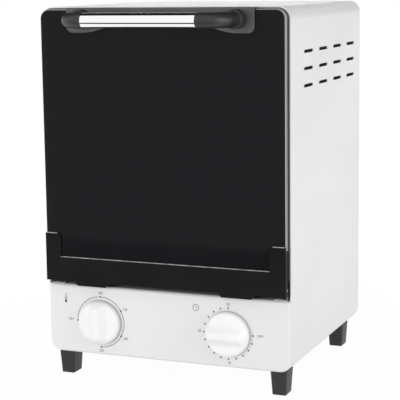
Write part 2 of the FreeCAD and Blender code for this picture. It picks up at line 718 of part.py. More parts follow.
def make_control_panel():
    """Pressed pan: bent lip flush with the wrap, then a flange inside it and a ledge on top."""
    body = new_body("control_panel")
    inner_x = flange_x - size.CaseSheet
    play = size.CaseSheet + size.SheetGap
    inner = play + size.CaseSheet
    corner = size.EdgeRadius
    extrude(body, "XZ", 0, size.PanelLip,
            both_sides([(half_width, ledge_z), (half_width, base_z, corner)]))
    round_edges(body, size.PanelBend, edge_at("Y", 0))
    extrude(body, "XZ", size.PanelLip, size.LedgeDepth,
            both_sides([(flange_x, ledge_z), (flange_x, base_z + play, corner - play)]))
    cut(body, "XZ", size.CaseSheet, size.LedgeDepth,
        both_sides([(inner_x, ledge_z - size.CaseSheet), (inner_x, base_z + inner, corner - inner)]))
    round_edges(body, size.PanelBend - size.CaseSheet, edge_at("Y", size.CaseSheet))
    hole = size.NeckDiameter / 2 + size.SheetGap
    cut(body, "XZ", 0, size.CaseSheet,
        Circle(-size.TemperatureOffset, dial_z, hole), Circle(size.TimerOffset, dial_z, hole),
        *[Circle(x, z, size.SmallScrew / 2 + size.FitGap) for x, z in timer_screw_spots()])
    cut(body, "XY", ledge_z - size.CaseSheet, ledge_z,
        *[Circle(x, y, size.BracketScrew / 2 + size.FitGap) for x, y in bracket_screw_spots()])


def make_front_frame():
    """Pressed frame behind the door glass, round the cavity opening."""
    body = new_body("front_frame")
    inner_x = flange_x - size.CaseSheet
    play = size.CaseSheet + size.SheetGap
    inner = play + size.CaseSheet
    corner = size.EdgeRadius
    extrude(body, "XZ", size.FrameSetback, size.FrameDepth,
            both_sides([(flange_x, sill_z), (flange_x, top_z - play, corner - play)]))
    cut(body, "XZ", frame_back, size.FrameDepth,
        both_sides([(inner_x, sill_z), (inner_x, top_z - inner, corner - inner)]))
    cut(body, "XZ", size.FrameSetback, frame_back,
        rectangle(-wall_x, sill_z + size.OpeningRise, wall_x, roof_z - size.OpeningDrop, size.OpeningRadius))
    slot_low = hinge_z + size.ArmRise - size.RestGap
    slot_high = hinge_z + distance(size.ArmReach, size.ArmRise + size.ArmHeight) + size.RestGap
    slot_width = size.ArmSheet + 8 * size.RestGap
    for side in (-1, 1):
        middle = side * (arm_x - size.ArmSheet / 2)
        cut(body, "XZ", size.FrameSetback, frame_back,
            rectangle(middle - slot_width / 2, slot_low, middle + slot_width / 2, slot_high,
                      2 * size.RestGap),
            Circle(side * handle_x, handle_z, size.BoltHead / 2 + size.BoltRoom))


def make_front_sill():
    """Folded sheet under the opening: lip, shelf and the rear wall of the rail's gutter."""
    body = new_body("front_sill")
    sheet_y = size.LedgeDepth
    shelf = sill_z - size.CaseSheet
    extrude(body, "YZ", -flange_x, flange_x,
            [(frame_back, shelf), (sheet_y, shelf), (sheet_y, ledge_z - size.CaseSheet),
             (sheet_y + size.CaseSheet, ledge_z - size.CaseSheet),
             (sheet_y + size.CaseSheet, sill_z, size.CaseSheet / 2), (frame_back, sill_z)])
    extrude(body, "YZ", -wall_x + size.SheetGap, wall_x - size.SheetGap,
            rectangle(frame_back, sill_z, frame_back + size.CaseSheet, sill_z + size.SillLip))


# Cavity

def make_cavity_wall(name, side):
    """Side sheet with three hollow pressed guides for the rack."""
    body = new_body(name)
    low_z = floor_z - size.CaseSheet
    step_y = size.LedgeDepth + size.CaseSheet
    near = side * wall_x if side > 0 else side * wall_outer
    far = near + size.CaseSheet
    extrude(body, "YZ", near, far,
            [(frame_back, sill_z), (step_y, sill_z), (step_y, low_z), (cavity_rear, low_z),
             (cavity_rear, roof_z), (frame_back, roof_z)])
    guide_z = floor_z + size.RackRise - size.RestGap - size.GuideHeight / 2
    guide_length = cavity_rear - size.GuideRear - size.GuideFront
    guide_y = size.GuideFront + size.GuideHeight / 2
    hollow = size.GuideHeight - 2 * size.CaseSheet
    if side > 0:
        spans = ((wall_x - size.GuideReach, wall_x),
                 (wall_x - size.GuideReach + size.CaseSheet, wall_outer))
    else:
        spans = ((-wall_x, -wall_x + size.GuideReach),
                 (-wall_outer, -wall_x + size.GuideReach - size.CaseSheet))
    rib = extrude(body, "YZ", spans[0][0], spans[0][1],
                  Slot(guide_y, guide_z, guide_length, size.GuideHeight))
    hole = cut(body, "YZ", spans[1][0], spans[1][1],
               Slot(guide_y, guide_z, guide_length - 2 * size.CaseSheet, hollow))
    repeat(body, [rib, hole], (("V_Axis", size.GuidePitch, size.GuideCount),))
    cut(body, "YZ", near, far, *[Circle(y, z, size.BushSpigot / 2 + size.FitGap) for y, z in rod_spots()])


def rod_spots():
    return [(y, z) for y in rod_rows for z in (lower_rod_z, upper_rod_z)]


def make_cavity_sheet(name, plane, outline, low, high, press):
    """Flat sheet with a pressed field, one sheet thickness deep inside the press depth."""
    body = new_body(name)
    x_low, y_low, x_high, y_high = outline
    margin = size.PressMargin
    thick = high - low
    extrude(body, plane, low, high, rectangle(x_low, y_low, x_high, y_high))
    field = rectangle(x_low + margin, y_low + margin, x_high - margin, y_high - margin, margin / 3)
    margin = margin + size.CaseSheet
    dish = rectangle(x_low + margin, y_low + margin, x_high - margin, y_high - margin, margin / 3)
    if press > 0:
        extrude(body, plane, high, high + size.PressDepth, field)
        cut(body, plane, low, low + size.PressDepth, dish)
    else:
        extrude(body, plane, low - size.PressDepth, low, field)
        cut(body, plane, low - size.PressDepth + thick, high, dish)
    return body


def make_cavity_shell():
    sheet_t = size.CaseSheet
    front = size.LedgeDepth + sheet_t
    make_cavity_wall("cavity_wall_left", -1)
    make_cavity_wall("cavity_wall_right", 1)
    make_cavity_sheet("cavity_roof", "XY", (-wall_outer, frame_back, wall_outer, cavity_rear),
                      roof_z, roof_z + sheet_t, 1)
    make_cavity_sheet("cavity_floor", "XY", (-wall_x, front, wall_x, cavity_rear),
                      floor_z - sheet_t, floor_z, -1)
    back = make_cavity_sheet("cavity_back", "XZ",
                             (-wall_outer, floor_z - sheet_t, wall_outer, roof_z + sheet_t),
                             cavity_rear, cavity_rear + sheet_t, 1)
    cut(back, "XZ", cavity_rear, cavity_rear + 2 * size.PressDepth,
        Circle(tube_x(), bulb_z(), size.TubeDiameter / 2 + size.SheetGap))


def make_cavity_brackets():
    """Two Z-shaped brackets that tie the cavity to the back panel."""
    body = new_body("cavity_brackets")
    thick = size.CaseSheet
    front = cavity_rear + thick + size.PressDepth
    loops = []
    for side in (-1, 1):
        web = side * size.BracketSpan / 2
        loops.append([(web - side * size.BracketFoot, front), (web, front),
                      (web, rear_inner - thick), (web + side * size.BracketFoot, rear_inner - thick),
                      (web + side * size.BracketFoot, rear_inner), (web - side * thick, rear_inner),
                      (web - side * thick, front + thick), (web - side * size.BracketFoot, front + thick)])
    middle = (floor_z + roof_z) / 2
    extrude(body, "XY", middle - size.BracketHeight / 2, middle + size.BracketHeight / 2, *loops)


def make_heat_shield():
    """Folded tray between the cavity and the controls."""
    body = new_body("heat_shield")
    high = floor_z - size.ShieldDrop
    low = high - size.CaseSheet
    inner_x = flange_x - size.CaseSheet
    foot = high - size.ShieldFlange
    front = size.LedgeDepth + 2 * size.CaseSheet
    extrude(body, "XZ", front, size.BodyDepth - size.ShieldRear,
            [(-flange_x, high), (-flange_x, foot), (-inner_x, foot), (-inner_x, low),
             (inner_x, low), (inner_x, foot), (flange_x, foot), (flange_x, high)])


def make_heaters():
    """Straight metal rods across the cavity with a terminal pin at each end."""
    sheath = wall_outer + size.RodOverhang
    for name, z in (("upper_heaters", upper_rod_z), ("lower_heaters", lower_rod_z)):
        body = new_body(name)
        spots = [(y, z) for y in rod_rows]
        extrude(body, "YZ", -sheath, sheath, *[Circle(y, z, size.RodDiameter / 2) for y, z in spots])
        extrude(body, "YZ", -sheath - size.PinLength, sheath + size.PinLength,
                *[Circle(y, z, size.RodPin / 2) for y, z in spots])


def make_heater_bushes():
    """Ceramic bushes, flange outside the cavity wall and spigot through it."""
    body = new_body("heater_bushes")
    bore = size.RodDiameter / 2 + size.RunningGap
    spans = ((wall_outer, wall_outer + size.BushThickness, size.BushFlange / 2),
             (wall_x - size.CaseSheet, wall_outer, size.BushSpigot / 2))
    pads = []
    for low, high, radius in spans:
        loops = []
        for y, z in rod_spots():
            loops += [Circle(y, z, radius), Circle(y, z, bore)]
        pads.append(extrude(body, "YZ", low, high, *loops))
    mirror(body, pads)


# Rack

def make_wire_rack():
    """Closed frame of thick wire, with thin wires from front to back welded on it."""
    body = new_body("wire_rack")
    wire = size.RackFrameWire / 2
    side = wall_x - size.RackPlay - wire
    front = size.RackFront
    rear = cavity_rear - size.RackRear
    thin = size.RackCrossWire / 2
    spine = draw(body, "XY", rack_z, [rectangle(-side, front, side, rear, size.RackCorner)])
    ring = draw(body, "YZ", 0, [Circle(front, rack_z, wire)])
    sweep(body, spine, ring)
    first_x = -(size.RackWires - 1) * size.RackPitch / 2
    rod = extrude(body, "XZ", front, rear, Circle(first_x, rack_z + wire - thin / 2, thin))
    repeat(body, [rod], (("H_Axis", size.RackPitch, size.RackWires),))
    middle = (front + rear) / 2
    extrude(body, "YZ", -side, side, Circle(middle, rack_z - thin / 2, thin))


# Door

def make_door_glass():
    """Dark glass plate, its lower corners cut out behind the rail's ears."""
    body = new_body("door_glass")
    low = rail_z + size.RailSheet + size.Packing
    notch_x = ear_x + size.RailSheet
    extrude(body, "XZ", glass_front, glass_back,
            both_sides([(notch_x, low), (notch_x, notch_z), (glass_x, notch_z),
                        (glass_x, glass_top, size.GlassRadius)]))
    round_edges(body, size.GlassChamfer, edge_at("Y", glass_front), "Chamfer")
    cut(body, "XZ", glass_front, glass_back,
        *[Circle(side * handle_x, handle_z, size.BoltDiameter / 2 + size.BoltPlay) for side in (-1, 1)])


def make_door_rail():
    """Black folded sheet: tall ears, two lower tabs, a channel for the glass and two end flanges."""
    body = new_body("door_rail")
    wall_back = rail_front + size.RailSheet
    lip = rail_z + size.RailHeight
    tab = rail_z - size.TabDrop
    tab_outer = rail_x - size.TabInset
    tab_inner = tab_outer - size.TabWidth
    extrude(body, "XZ", rail_front, wall_back, both_sides([
        (tab_inner, rail_z), (tab_inner + size.TabSlope, tab), (tab_outer - size.TabSlope, tab),
        (tab_outer, rail_z), (rail_x, rail_z), (rail_x, ear_top, size.RailSheet),
        (ear_x, ear_top, size.EarRadius), (ear_x, lip, size.RailSheet)]))
    inner_back = rail_back - size.RailSheet
    channel_top = rail_z + size.ChannelRear
    channel = [(wall_back, rail_z), (rail_back, rail_z, size.RailSheet), (rail_back, channel_top),
               (inner_back, channel_top), (inner_back, rail_z + size.RailSheet),
               (wall_back, rail_z + size.RailSheet)]
    extrude(body, "YZ", -channel_x, channel_x, channel)
    flange_top = notch_z - size.Packing
    for low, high in ((rail_x - size.RailSheet, rail_x), (-rail_x, -rail_x + size.RailSheet)):
        extrude(body, "YZ", low, high,
                [(wall_back, rail_z), (rail_back, rail_z, 2 * size.RailSheet),
                 (rail_back, flange_top, 2 * size.RailSheet), (wall_back, flange_top)])
        cut(body, "YZ", low, high, Circle(hinge_y, hinge_z, size.PinDiameter / 2))


def make_rail_packing():
    """Soft strip between the rail's channel and the glass."""
    body = new_body("rail_packing")
    front = rail_front + size.RailSheet
    rear = rail_back - size.RailSheet
    low = rail_z + size.RailSheet
    high = rail_z + size.ChannelRear
    extrude(body, "YZ", -channel_x, channel_x,
            [(front, low), (rear, low), (rear, high), (glass_back, high), (glass_back, low + size.Packing),
             (glass_front, low + size.Packing), (glass_front, high), (front, high)])


def plate_outline():
    """Front of the handle plate: deep at both ends and waisted behind the bar."""
    low = plate_top - size.PlateHeight
    waist = plate_top - size.PlateWaist
    shoulder = handle_x - size.ElbowFoot / 2
    inner = shoulder - 2 * (size.PlateHeight - size.PlateWaist)
    return both_sides([(inner, waist, size.ElbowBend), (shoulder, low, size.ElbowBend),
                       (plate_x, low, size.PlateRadius), (plate_x, plate_top, size.PlateSheet)])


def make_handle_plate():
    """Grey clip folded over the top edge of the glass."""
    body = new_body("handle_plate")
    bend = plate_front + size.PlateSheet
    rear = glass_back + size.Packing + size.PlateSheet
    extrude(body, "XZ", plate_front, bend, plate_outline())
    extrude(body, "YZ", -plate_x, plate_x,
            [(bend, plate_top), (rear, plate_top, size.PlateSheet), (rear, plate_top - size.PlateFold),
             (rear - size.PlateSheet, plate_top - size.PlateFold),
             (rear - size.PlateSheet, plate_top - size.PlateSheet), (bend, plate_top - size.PlateSheet)])
    cut(body, "XZ", plate_front, rear,
        *[Circle(end * handle_x, handle_z, size.BoltDiameter / 2 + size.FitGap) for end in (-1, 1)])


def make_handle_packing():
    """Dark packing between the plate and the glass."""
    body = new_body("handle_packing")
    front = plate_front + size.PlateSheet
    rear = glass_back + size.Packing
    high = plate_top - size.PlateSheet
    low = plate_top - size.PlateWaist
    extrude(body, "YZ", -plate_x, plate_x,
            [(front, high), (rear, high), (rear, plate_top - size.PlateFold),
             (glass_back, plate_top - size.PlateFold), (glass_back, glass_top),
             (glass_front, glass_top), (glass_front, low), (front, low)])
    cut(body, "XZ", front, rear,
        *[Circle(end * handle_x, handle_z, size.BoltDiameter / 2 + size.BoltPlay) for end in (-1, 1)])


def make_handle_bar():
    """Chrome tube between the elbows."""
    body = new_body("handle_bar")
    reach = bar_end + size.BarSocket
    extrude(body, "YZ", -reach, reach, Circle(bar_y, handle_z, size.BarDiameter / 2),
            Circle(bar_y, handle_z, size.BarDiameter / 2 - size.BarWall))


def make_handle_elbow(name, side):
    """Moulded elbow from the bar's end back to a round foot on the plate."""
    body = new_body(name)
    foot_y = plate_front - size.FootLength
    end_x = side * bar_end
    post_x = side * handle_x
    radius = size.ElbowDiameter / 2
    extrude(body, "XZ", foot_y, plate_front, Circle(post_x, handle_z, size.ElbowFoot / 2))
    round_edges(body, size.PlateSheet, edge_at("Y", foot_y))
    path = draw(body, "XY", handle_z,
                [Path((end_x, bar_y), (post_x, bar_y, size.ElbowBend), (post_x, foot_y))])
    ring = draw(body, "YZ", end_x, [Circle(bar_y, handle_z, radius)])
    sweep(body, path, ring)
    socket = (end_x, end_x + size.BarSocket) if side > 0 else (end_x - size.BarSocket, end_x)
    cut(body, "YZ", socket[0], socket[1], Circle(bar_y, handle_z, size.BarDiameter / 2 + size.RunningGap))
    cut(body, "XZ", plate_front - size.BoltDepth, plate_front,
        Circle(post_x, handle_z, size.BoltDiameter / 2))


def make_handle_bolts():
    body = new_body("handle_bolts")
    rear = glass_back + size.Packing + size.PlateSheet
    spots = [side * handle_x for side in (-1, 1)]
    extrude(body, "XZ", rear, rear + size.BoltHeadHeight,
            *[Circle(x, handle_z, size.BoltHead / 2) for x in spots])
    extrude(body, "XZ", plate_front - size.BoltDepth, rear,
            *[Circle(x, handle_z, size.BoltDiameter / 2) for x in spots])


# Hinge

def bracket_screw_spots():
    """Two screws in each hinge bracket's foot: x and y."""
    middle = size.LedgeDepth / 2 + size.CaseSheet / 2
    inner = arm_x - size.HingeArm - size.BracketHead / 2 - size.CaseSheet
    outer = arm_x + size.BracketHead / 2 + size.CaseSheet
    return [(side * x, middle) for side in (-1, 1) for x in (inner, outer)]


def make_hinge_bracket(name, side):
    """Foot on the ledge and an upright arm whose eye carries the hinge pin."""
    body = new_body(name)
    eye = size.EyeDiameter / 2
    front = size.LedgeDepth - 2 * eye - size.HingeRise / 2
    rear = size.LedgeDepth - size.CaseSheet
    low, high = sorted((side * (arm_x - size.HingeArm), side * arm_x))
    corner = eye - size.FitGap
    extrude(body, "YZ", low, high,
            [(hinge_y - eye, hinge_z - eye, corner), (front + eye, hinge_z - eye, corner / 2),
             (front + eye, ledge_z), (rear, ledge_z), (rear, hinge_z + eye, corner),
             (hinge_y - eye, hinge_z + eye, corner)])
    foot_high = side * (arm_x - size.HingeArm - size.HingeFoot / 2 + size.HingeSheet)
    foot_low = side * (arm_x + size.HingeFoot / 2 - size.HingeSheet)
    foot_x = sorted((foot_high, foot_low))
    extrude(body, "XY", ledge_z, ledge_z + size.HingeSheet,
            rectangle(foot_x[0], size.HingeSheet, foot_x[1], rear, size.HingeSheet))
    cut(body, "YZ", low, high, Circle(hinge_y, hinge_z, size.PinDiameter / 2 + size.RunningGap))
    spots = [spot for spot in bracket_screw_spots() if spot[0] * side > 0]
    cut(body, "XY", ledge_z, ledge_z + size.HingeSheet,
        *[Circle(x, y, size.BracketScrew / 2 + size.FitGap) for x, y in spots])


def make_bracket_screws():
    body = new_body("bracket_screws")
    seat = ledge_z + size.HingeSheet
    spots = bracket_screw_spots()
    extrude(body, "XY", seat, seat + size.BracketHeadHeight,
            *[Circle(x, y, size.BracketHead / 2) for x, y in spots])
    extrude(body, "XY", seat - size.ScrewLength, seat,
            *[Circle(x, y, size.BracketScrew / 2) for x, y in spots])


def make_hinge_pin(name, side):
    """Pin held in the rail's end flange, turning in the bracket's eye."""
    body = new_body(name)
    collar = rail_x - size.RailSheet
    low, high = sorted((side * (rail_x - size.PinReach), side * rail_x))
    extrude(body, "YZ", low, high, Circle(hinge_y, hinge_z, size.PinDiameter / 2))
    low, high = sorted((side * (collar - size.RailSheet), side * collar))
    extrude(body, "YZ", low, high, Circle(hinge_y, hinge_z, size.PinCollar / 2))


def make_hinge_arm(name, side):
    """Lever on the back of the ear, through the frame's slot, that the door spring pulls on."""
    body = new_body(name)
    base = rail_front + size.RailSheet
    low_z = hinge_z + size.ArmRise
    high_z = low_z + size.ArmHeight
    tip_y = hinge_y + size.ArmReach
    low, high = sorted((side * (arm_x - size.ArmSheet), side * arm_x))
    extrude(body, "YZ", low, high,
            [(base, low_z), (base + 4 * size.ArmSheet, low_z, size.ArmSheet),
             (tip_y, high_z - size.ArmTip, 2 * size.ArmSheet), (tip_y, high_z, 2 * size.ArmSheet),
             (base, high_z)])
    notch_side = ear_x + 2 * size.RailSheet + size.SheetGap
    inner, outer = sorted((side * notch_side, side * (arm_x - size.ArmSheet)))
    extrude(body, "XZ", base, base + size.ArmSheet, rectangle(inner, low_z, outer, high_z))


def spring_place():
    """Front end of the coil, and height of its axis."""
    start = hinge_y + size.ArmReach + size.RestGap + size.SpringHook
    height = hinge_z + size.ArmRise + size.ArmHeight - size.ArmTip / 2
    return start, height


def make_door_spring(name, side):
    """Closed-wound extension spring beside the cavity wall, with a straight hook at each end."""
    body = new_body(name)
    start, height = spring_place()
    end = start + size.SpringLength
    x = side * (arm_x - size.ArmSheet / 2)
    outer = size.SpringDiameter / 2
    extrude(body, "XZ", start, end, Circle(x, height, outer), Circle(x, height, outer - size.SpringWire))
    for low, high in ((start, start + size.SpringWire), (end - size.SpringWire, end)):
        extrude(body, "XZ", low, high, Circle(x, height, outer))
    for low, high in ((start - size.SpringHook, start), (end, end + size.SpringHook)):
        extrude(body, "XZ", low, high, Circle(x, height, size.SpringWire / 2))


def make_spring_anchors():
    """Tabs on the cavity walls that hold the rear ends of the door springs."""
    body = new_body("spring_anchors")
    start, height = spring_place()
    front = start + size.SpringLength + size.SpringHook
    reach = size.SpringDiameter / 2
    for side in (-1, 1):
        low, high = sorted((side * wall_outer, side * arm_x))
        extrude(body, "XZ", front, front + size.AnchorSheet,
                rectangle(low, height - reach, high, height + reach))
        low, high = sorted((side * wall_outer, side * (wall_outer + size.AnchorSheet)))
        extrude(body, "XZ", front + size.AnchorSheet, front + size.SpringHook + size.AnchorSheet,
                rectangle(low, height - reach, high, height + reach))


# Controls

def make_knob(name, x, upright):
    """Hollow white knob with a sloping flank, a low crown and a raised grip across it."""
    body = new_body(name, x, dial_z)
    rim = size.KnobDiameter / 2
    shoulder = size.KnobShoulder / 2
    wall = size.KnobWall
    back = -size.KnobGap
    rim_y = back - size.KnobRim
    top = -size.KnobShoulderHeight
    crown = -size.KnobCrown
    boss_y = -size.NeckReach - size.KnobGap
    spin(body, "XY", "V_Axis",
         [(0, crown), (shoulder - wall, top - size.KnobRim / 2, wall), (shoulder, top, wall / 2),
          (rim, rim_y, wall / 2), (rim, back), (rim - wall, back), (rim - wall, rim_y),
          (shoulder - wall, top + wall),
          (size.KnobBoss / 2, top + wall), (size.KnobBoss / 2, boss_y), (0, boss_y)])
    long_half = size.GripLength / 2
    wide_half = size.GripWidth / 2
    half_x, half_z = (wide_half, long_half) if upright else (long_half, wide_half)
    outline = rectangle(-half_x, -half_z, half_x, half_z, size.GripWidth / 3)
    sketch = draw(body, "XZ", top + wall / 2, [outline])
    grip = body.newObject("PartDesign::Pad", name + "_grip")
    grip.Profile = sketch
    bind(grip, "Length", size.GripHeight - size.KnobShoulderHeight + wall / 2)
    bind(grip, "TaperAngle", -size.GripTaper)
    body.Tip = grip
    round_edges(body, size.GripRound, edge_at("Y", -size.GripHeight))
    flat = size.ShaftDiameter / 2 - size.ShaftFlat
    bore = size.ShaftDiameter / 2
    step = -size.ShaftFront + size.FlatLength
    cut(body, "XZ", step, boss_y, Circle(0, 0, bore))
    pocket = body.newObject("PartDesign::Pocket", name + "_flat")
    pocket.Profile = draw_flat_circle(body, -size.ShaftFront, bore, flat)
    pocket.Reversed = False
    bind(pocket, "Length", step + size.ShaftFront)
    body.Tip = pocket


def draw_flat_circle(body, place, bore, flat):
    """A circle cut by a flat on its +X side."""
    sketch = draw(body, "XZ", place, [])
    drop = math.sqrt(float(bore) ** 2 - float(flat) ** 2)
    turn = math.atan2(drop, float(flat))
    circle = Part.Circle(V(0, 0, 0), V(0, 0, 1), float(bore))
    arc = sketch.addGeometry(Part.ArcOfCircle(circle, turn, 2 * math.pi - turn), False)
    line = sketch.addGeometry(Part.LineSegment(V(float(flat), -drop, 0), V(float(flat), drop, 0)), False)
    sketch.addConstraint(Sketcher.Constraint("Coincident", arc, 3, -1, 1))
    sketch.addConstraint(Sketcher.Constraint("Coincident", arc, 1, line, 2))
    sketch.addConstraint(Sketcher.Constraint("Coincident", arc, 2, line, 1))
    sketch.addConstraint(Sketcher.Constraint("Vertical", line))
    set_radius(sketch, arc, bore)
    index = sketch.addConstraint(Sketcher.Constraint("DistanceX", -1, 1, line, 1, float(flat)))
    sketch.setExpression("Constraints[%d]" % index, flat.text)
    return sketch


def make_dial_shaft(name, x):
    """Round shaft with a flat on the end that carries the knob."""
    body = new_body(name, x, dial_z)
    bore = size.ShaftDiameter / 2
    flat = bore - size.ShaftFlat
    step = -size.ShaftFront + size.FlatLength
    extrude(body, "XZ", step, size.ShaftRear, Circle(0, 0, bore))
    tip = body.newObject("PartDesign::Pad", name + "_tip")
    tip.Profile = draw_flat_circle(body, -size.ShaftFront, bore, flat)
    tip.Reversed = True
    bind(tip, "Length", size.FlatLength)
    body.Tip = tip


def make_thermostat():
    """Capillary thermostat behind the panel, held by its neck and nut."""
    body = new_body("thermostat_body", -size.TemperatureOffset, dial_z)
    neck = size.NeckDiameter / 2
    half_x = size.ThermostatWidth / 2
    half_z = size.ThermostatHeight / 2
    front = size.CaseSheet
    rear = front + size.ThermostatDepth
    extrude(body, "XZ", front, rear, rectangle(-half_x, -half_z, half_x, half_z, size.CaseSheet))
    round_edges(body, size.CaseSheet, edge_at("Y", rear))
    extrude(body, "XZ", -size.NeckReach, front, Circle(0, 0, neck))
    cut(body, "XZ", -size.NeckReach, size.ShaftRear + size.RestGap,
        Circle(0, 0, size.ShaftDiameter / 2 + size.RunningGap))
    blade = size.BladeWidth / 2
    loops = [rectangle(side * size.BladeSpan / 2 - size.BladeThickness / 2, -blade,
                       side * size.BladeSpan / 2 + size.BladeThickness / 2, blade) for side in (-1, 1)]
    extrude(body, "XZ", rear, rear + size.BladeLength, *loops)

    nut = new_body("thermostat_nut", -size.TemperatureOffset, dial_z)
    extrude(nut, "XZ", -size.NutThickness, 0, hexagon(0, 0, size.NutAcross), Circle(0, 0, neck + size.FitGap))


def tube_x():
    """Sensing tube's vertical run, and its way in through the cavity's back wall."""
    return -size.TemperatureOffset - size.ThermostatWidth / 4


def bulb_x():
    return tube_x() + 2 * size.TubeBend + size.TubeDiameter


def bulb_z():
    return top_z - size.BulbDrop


def make_thermostat_bulb():
    """Thin sensing tube from the thermostat, up behind the cavity and in to a bulb."""
    body = new_body("thermostat_bulb")
    x = tube_x()
    low = dial_z + size.ThermostatHeight / 4
    high = bulb_z()
    front = size.CaseSheet + size.ThermostatDepth
    bulb_y = cavity_rear - size.BulbOffset
    back = cavity_rear + size.TubeRear
    joint = (back + bulb_y) / 2
    bend = size.TubeBend
    radius = size.TubeDiameter / 2
    riser = draw(body, "YZ", x, [Path((front, low), (back, low, bend), (back, high, bend), (joint, high))])
    sweep(body, riser, draw(body, "XZ", front, [Circle(x, low, radius)]))
    inlet = draw(body, "XY", high, [Path((x, joint), (x, bulb_y, bend), (bulb_x(), bulb_y))])
    sweep(body, inlet, draw(body, "XZ", joint, [Circle(x, high, radius)]))
    extrude(body, "YZ", bulb_x(), bulb_x() + size.BulbLength, Circle(bulb_y, high, size.BulbDiameter / 2))


def make_bulb_clips():
    """Two clips that hold the bulb off the cavity's back wall."""
    body = new_body("bulb_clips")
    bulb_y = cavity_rear - size.BulbOffset
    grip = size.BulbDiameter / 2
    outer = grip + size.CaseSheet
    for x in (bulb_x() + size.ClipInset, bulb_x() + size.BulbLength - size.ClipInset):
        extrude(body, "YZ", x - size.ClipWidth / 2, x + size.ClipWidth / 2,
                rectangle(bulb_y - outer, bulb_z() - outer, cavity_rear, bulb_z() + outer,
                          size.CaseSheet / 2),
                Circle(bulb_y, bulb_z(), grip + size.RunningGap))


def timer_screw_spots():
    half = size.TimerScrewSpan / 2
    return [(size.TimerOffset, dial_z - half), (size.TimerOffset, dial_z + half)]


def make_timer():
    """Clockwork timer behind the panel, with its bell and screws."""
    body = new_body("timer_body", size.TimerOffset, dial_z)
    neck = size.NeckDiameter / 2
    half = size.TimerSize / 2
    front = size.CaseSheet
    rear = front + size.TimerDepth
    screw_half = size.TimerScrewSpan / 2
    extrude(body, "XZ", front, rear, rectangle(-half, -half, half, half, size.TimerRadius))
    round_edges(body, size.CaseSheet, edge_at("Y", rear))
    extrude(body, "XZ", -size.NeckReach, front, Circle(0, 0, neck))
    cut(body, "XZ", -size.NeckReach, size.ShaftRear + size.RestGap,
        Circle(0, 0, size.ShaftDiameter / 2 + size.RunningGap))
    cut(body, "XZ", front, front + size.ScrewLength,
        *[Circle(0, side * screw_half, size.SmallScrew / 2 + size.FitGap) for side in (-1, 1)])

    bell = new_body("timer_bell", size.TimerOffset, dial_z)
    rim = size.BellDiameter / 2
    wall = size.CaseSheet
    near = rear + size.BellGap
    far = near + size.BellDepth
    spin(bell, "XY", "V_Axis",
         [(0, rear), (size.BellPost / 2, rear), (size.BellPost / 2, far - wall),
          (rim - wall, far - wall, size.BellDepth / 2), (rim - wall, near), (rim, near),
          (rim, far, size.BellDepth / 2), (0, far)])

    screws = new_body("timer_screws")
    spots = timer_screw_spots()
    extrude(screws, "XZ", -size.ScrewHeadHeight, 0, *[Circle(x, z, size.SmallHead / 2) for x, z in spots])
    extrude(screws, "XZ", 0, size.ScrewLength, *[Circle(x, z, size.SmallScrew / 2) for x, z in spots])


def make_terminal_block():
    """Three-way block on the bottom plate, near the cord gland."""
    body = new_body("terminal_block")
    low = base_z + 2 * size.CaseSheet
    high = low + size.BlockHeight
    rear = rear_inner - size.BlockRear
    front = rear - size.BlockDepth
    x_low = gland_x - size.BlockWidth / 2
    extrude(body, "XY", low, high, rectangle(x_low, front, x_low + size.BlockWidth, rear, size.CaseSheet))
    middle = low + size.BlockHeight / 2
    barrel = size.BlockBarrel / 2
    ways = [gland_x + k * size.BlockPitch for k in (-1, 0, 1)]
    cut(body, "XZ", front, rear, *[Circle(x, middle, barrel) for x in ways])
    cut(body, "XY", middle, high, *[Circle(x, (front + rear) / 2, barrel - size.BlockStep) for x in ways])


def make_cord_gland():
    """Moulded gland in the back panel, tapered outside and flanged inside."""
    body = new_body("cord_gland", gland_x, base_z + size.GlandRise)
    bore = size.GlandBore / 2
    neck = size.GlandHole / 2 - size.FitGap
    flange = size.GlandFlange / 2
    face = size.BodyDepth
    spin(body, "XY", "V_Axis",
         [(bore, rear_inner - size.GlandProud), (neck + size.CaseSheet, rear_inner - size.GlandProud),
          (neck + size.CaseSheet, rear_inner), (neck, rear_inner), (neck, face), (flange, face),
          (flange, face + size.GlandProud / 2, size.CaseSheet), (neck, face + size.GlandProud),
          (bore, face + size.GlandProud)])


# Feet

def make_foot(name, x, y):
    """Moulded square foot, wider at the top, bored for its screw."""
    body = new_body(name)
    half_x = size.FootWidth / 2
    half_y = size.FootDepth / 2
    spread = size.FootSpread / 2
    corner = size.CaseSheet
    lower = draw(body, "XY", 0, [rectangle(x - half_x, y - half_y, x + half_x, y + half_y, corner)])
    upper = draw(body, "XY", base_z, [rectangle(x - half_x - spread, y - half_y - spread,
                                                x + half_x + spread, y + half_y + spread, corner)])
    loft = body.newObject("PartDesign::AdditiveLoft", name + "_loft")
    loft.Profile = lower
    loft.Sections = [upper]
    body.Tip = loft
    cut(body, "XY", 0, base_z - size.FootSeat, Circle(x, y, size.FootScrewHead / 2 + size.HeadRoom))
    cut(body, "XY", base_z - size.FootSeat, base_z, Circle(x, y, size.FootScrew / 2 + size.FitGap))


def make_feet():
    names = ("foot_front_left", "foot_rear_left", "foot_front_right", "foot_rear_right")
    for name, (x, y) in zip(names, foot_spots):
        make_foot(name, x, y)
    body = new_body("foot_screws")
    seat = base_z - size.FootSeat
    extrude(body, "XY", seat - size.ScrewHeadHeight, seat,
            *[Circle(x, y, size.FootScrewHead / 2) for x, y in foot_spots])
    extrude(body, "XY", seat, base_z + 2 * size.CaseSheet + size.ScrewHeadHeight,
            *[Circle(x, y, size.FootScrew / 2) for x, y in foot_spots])


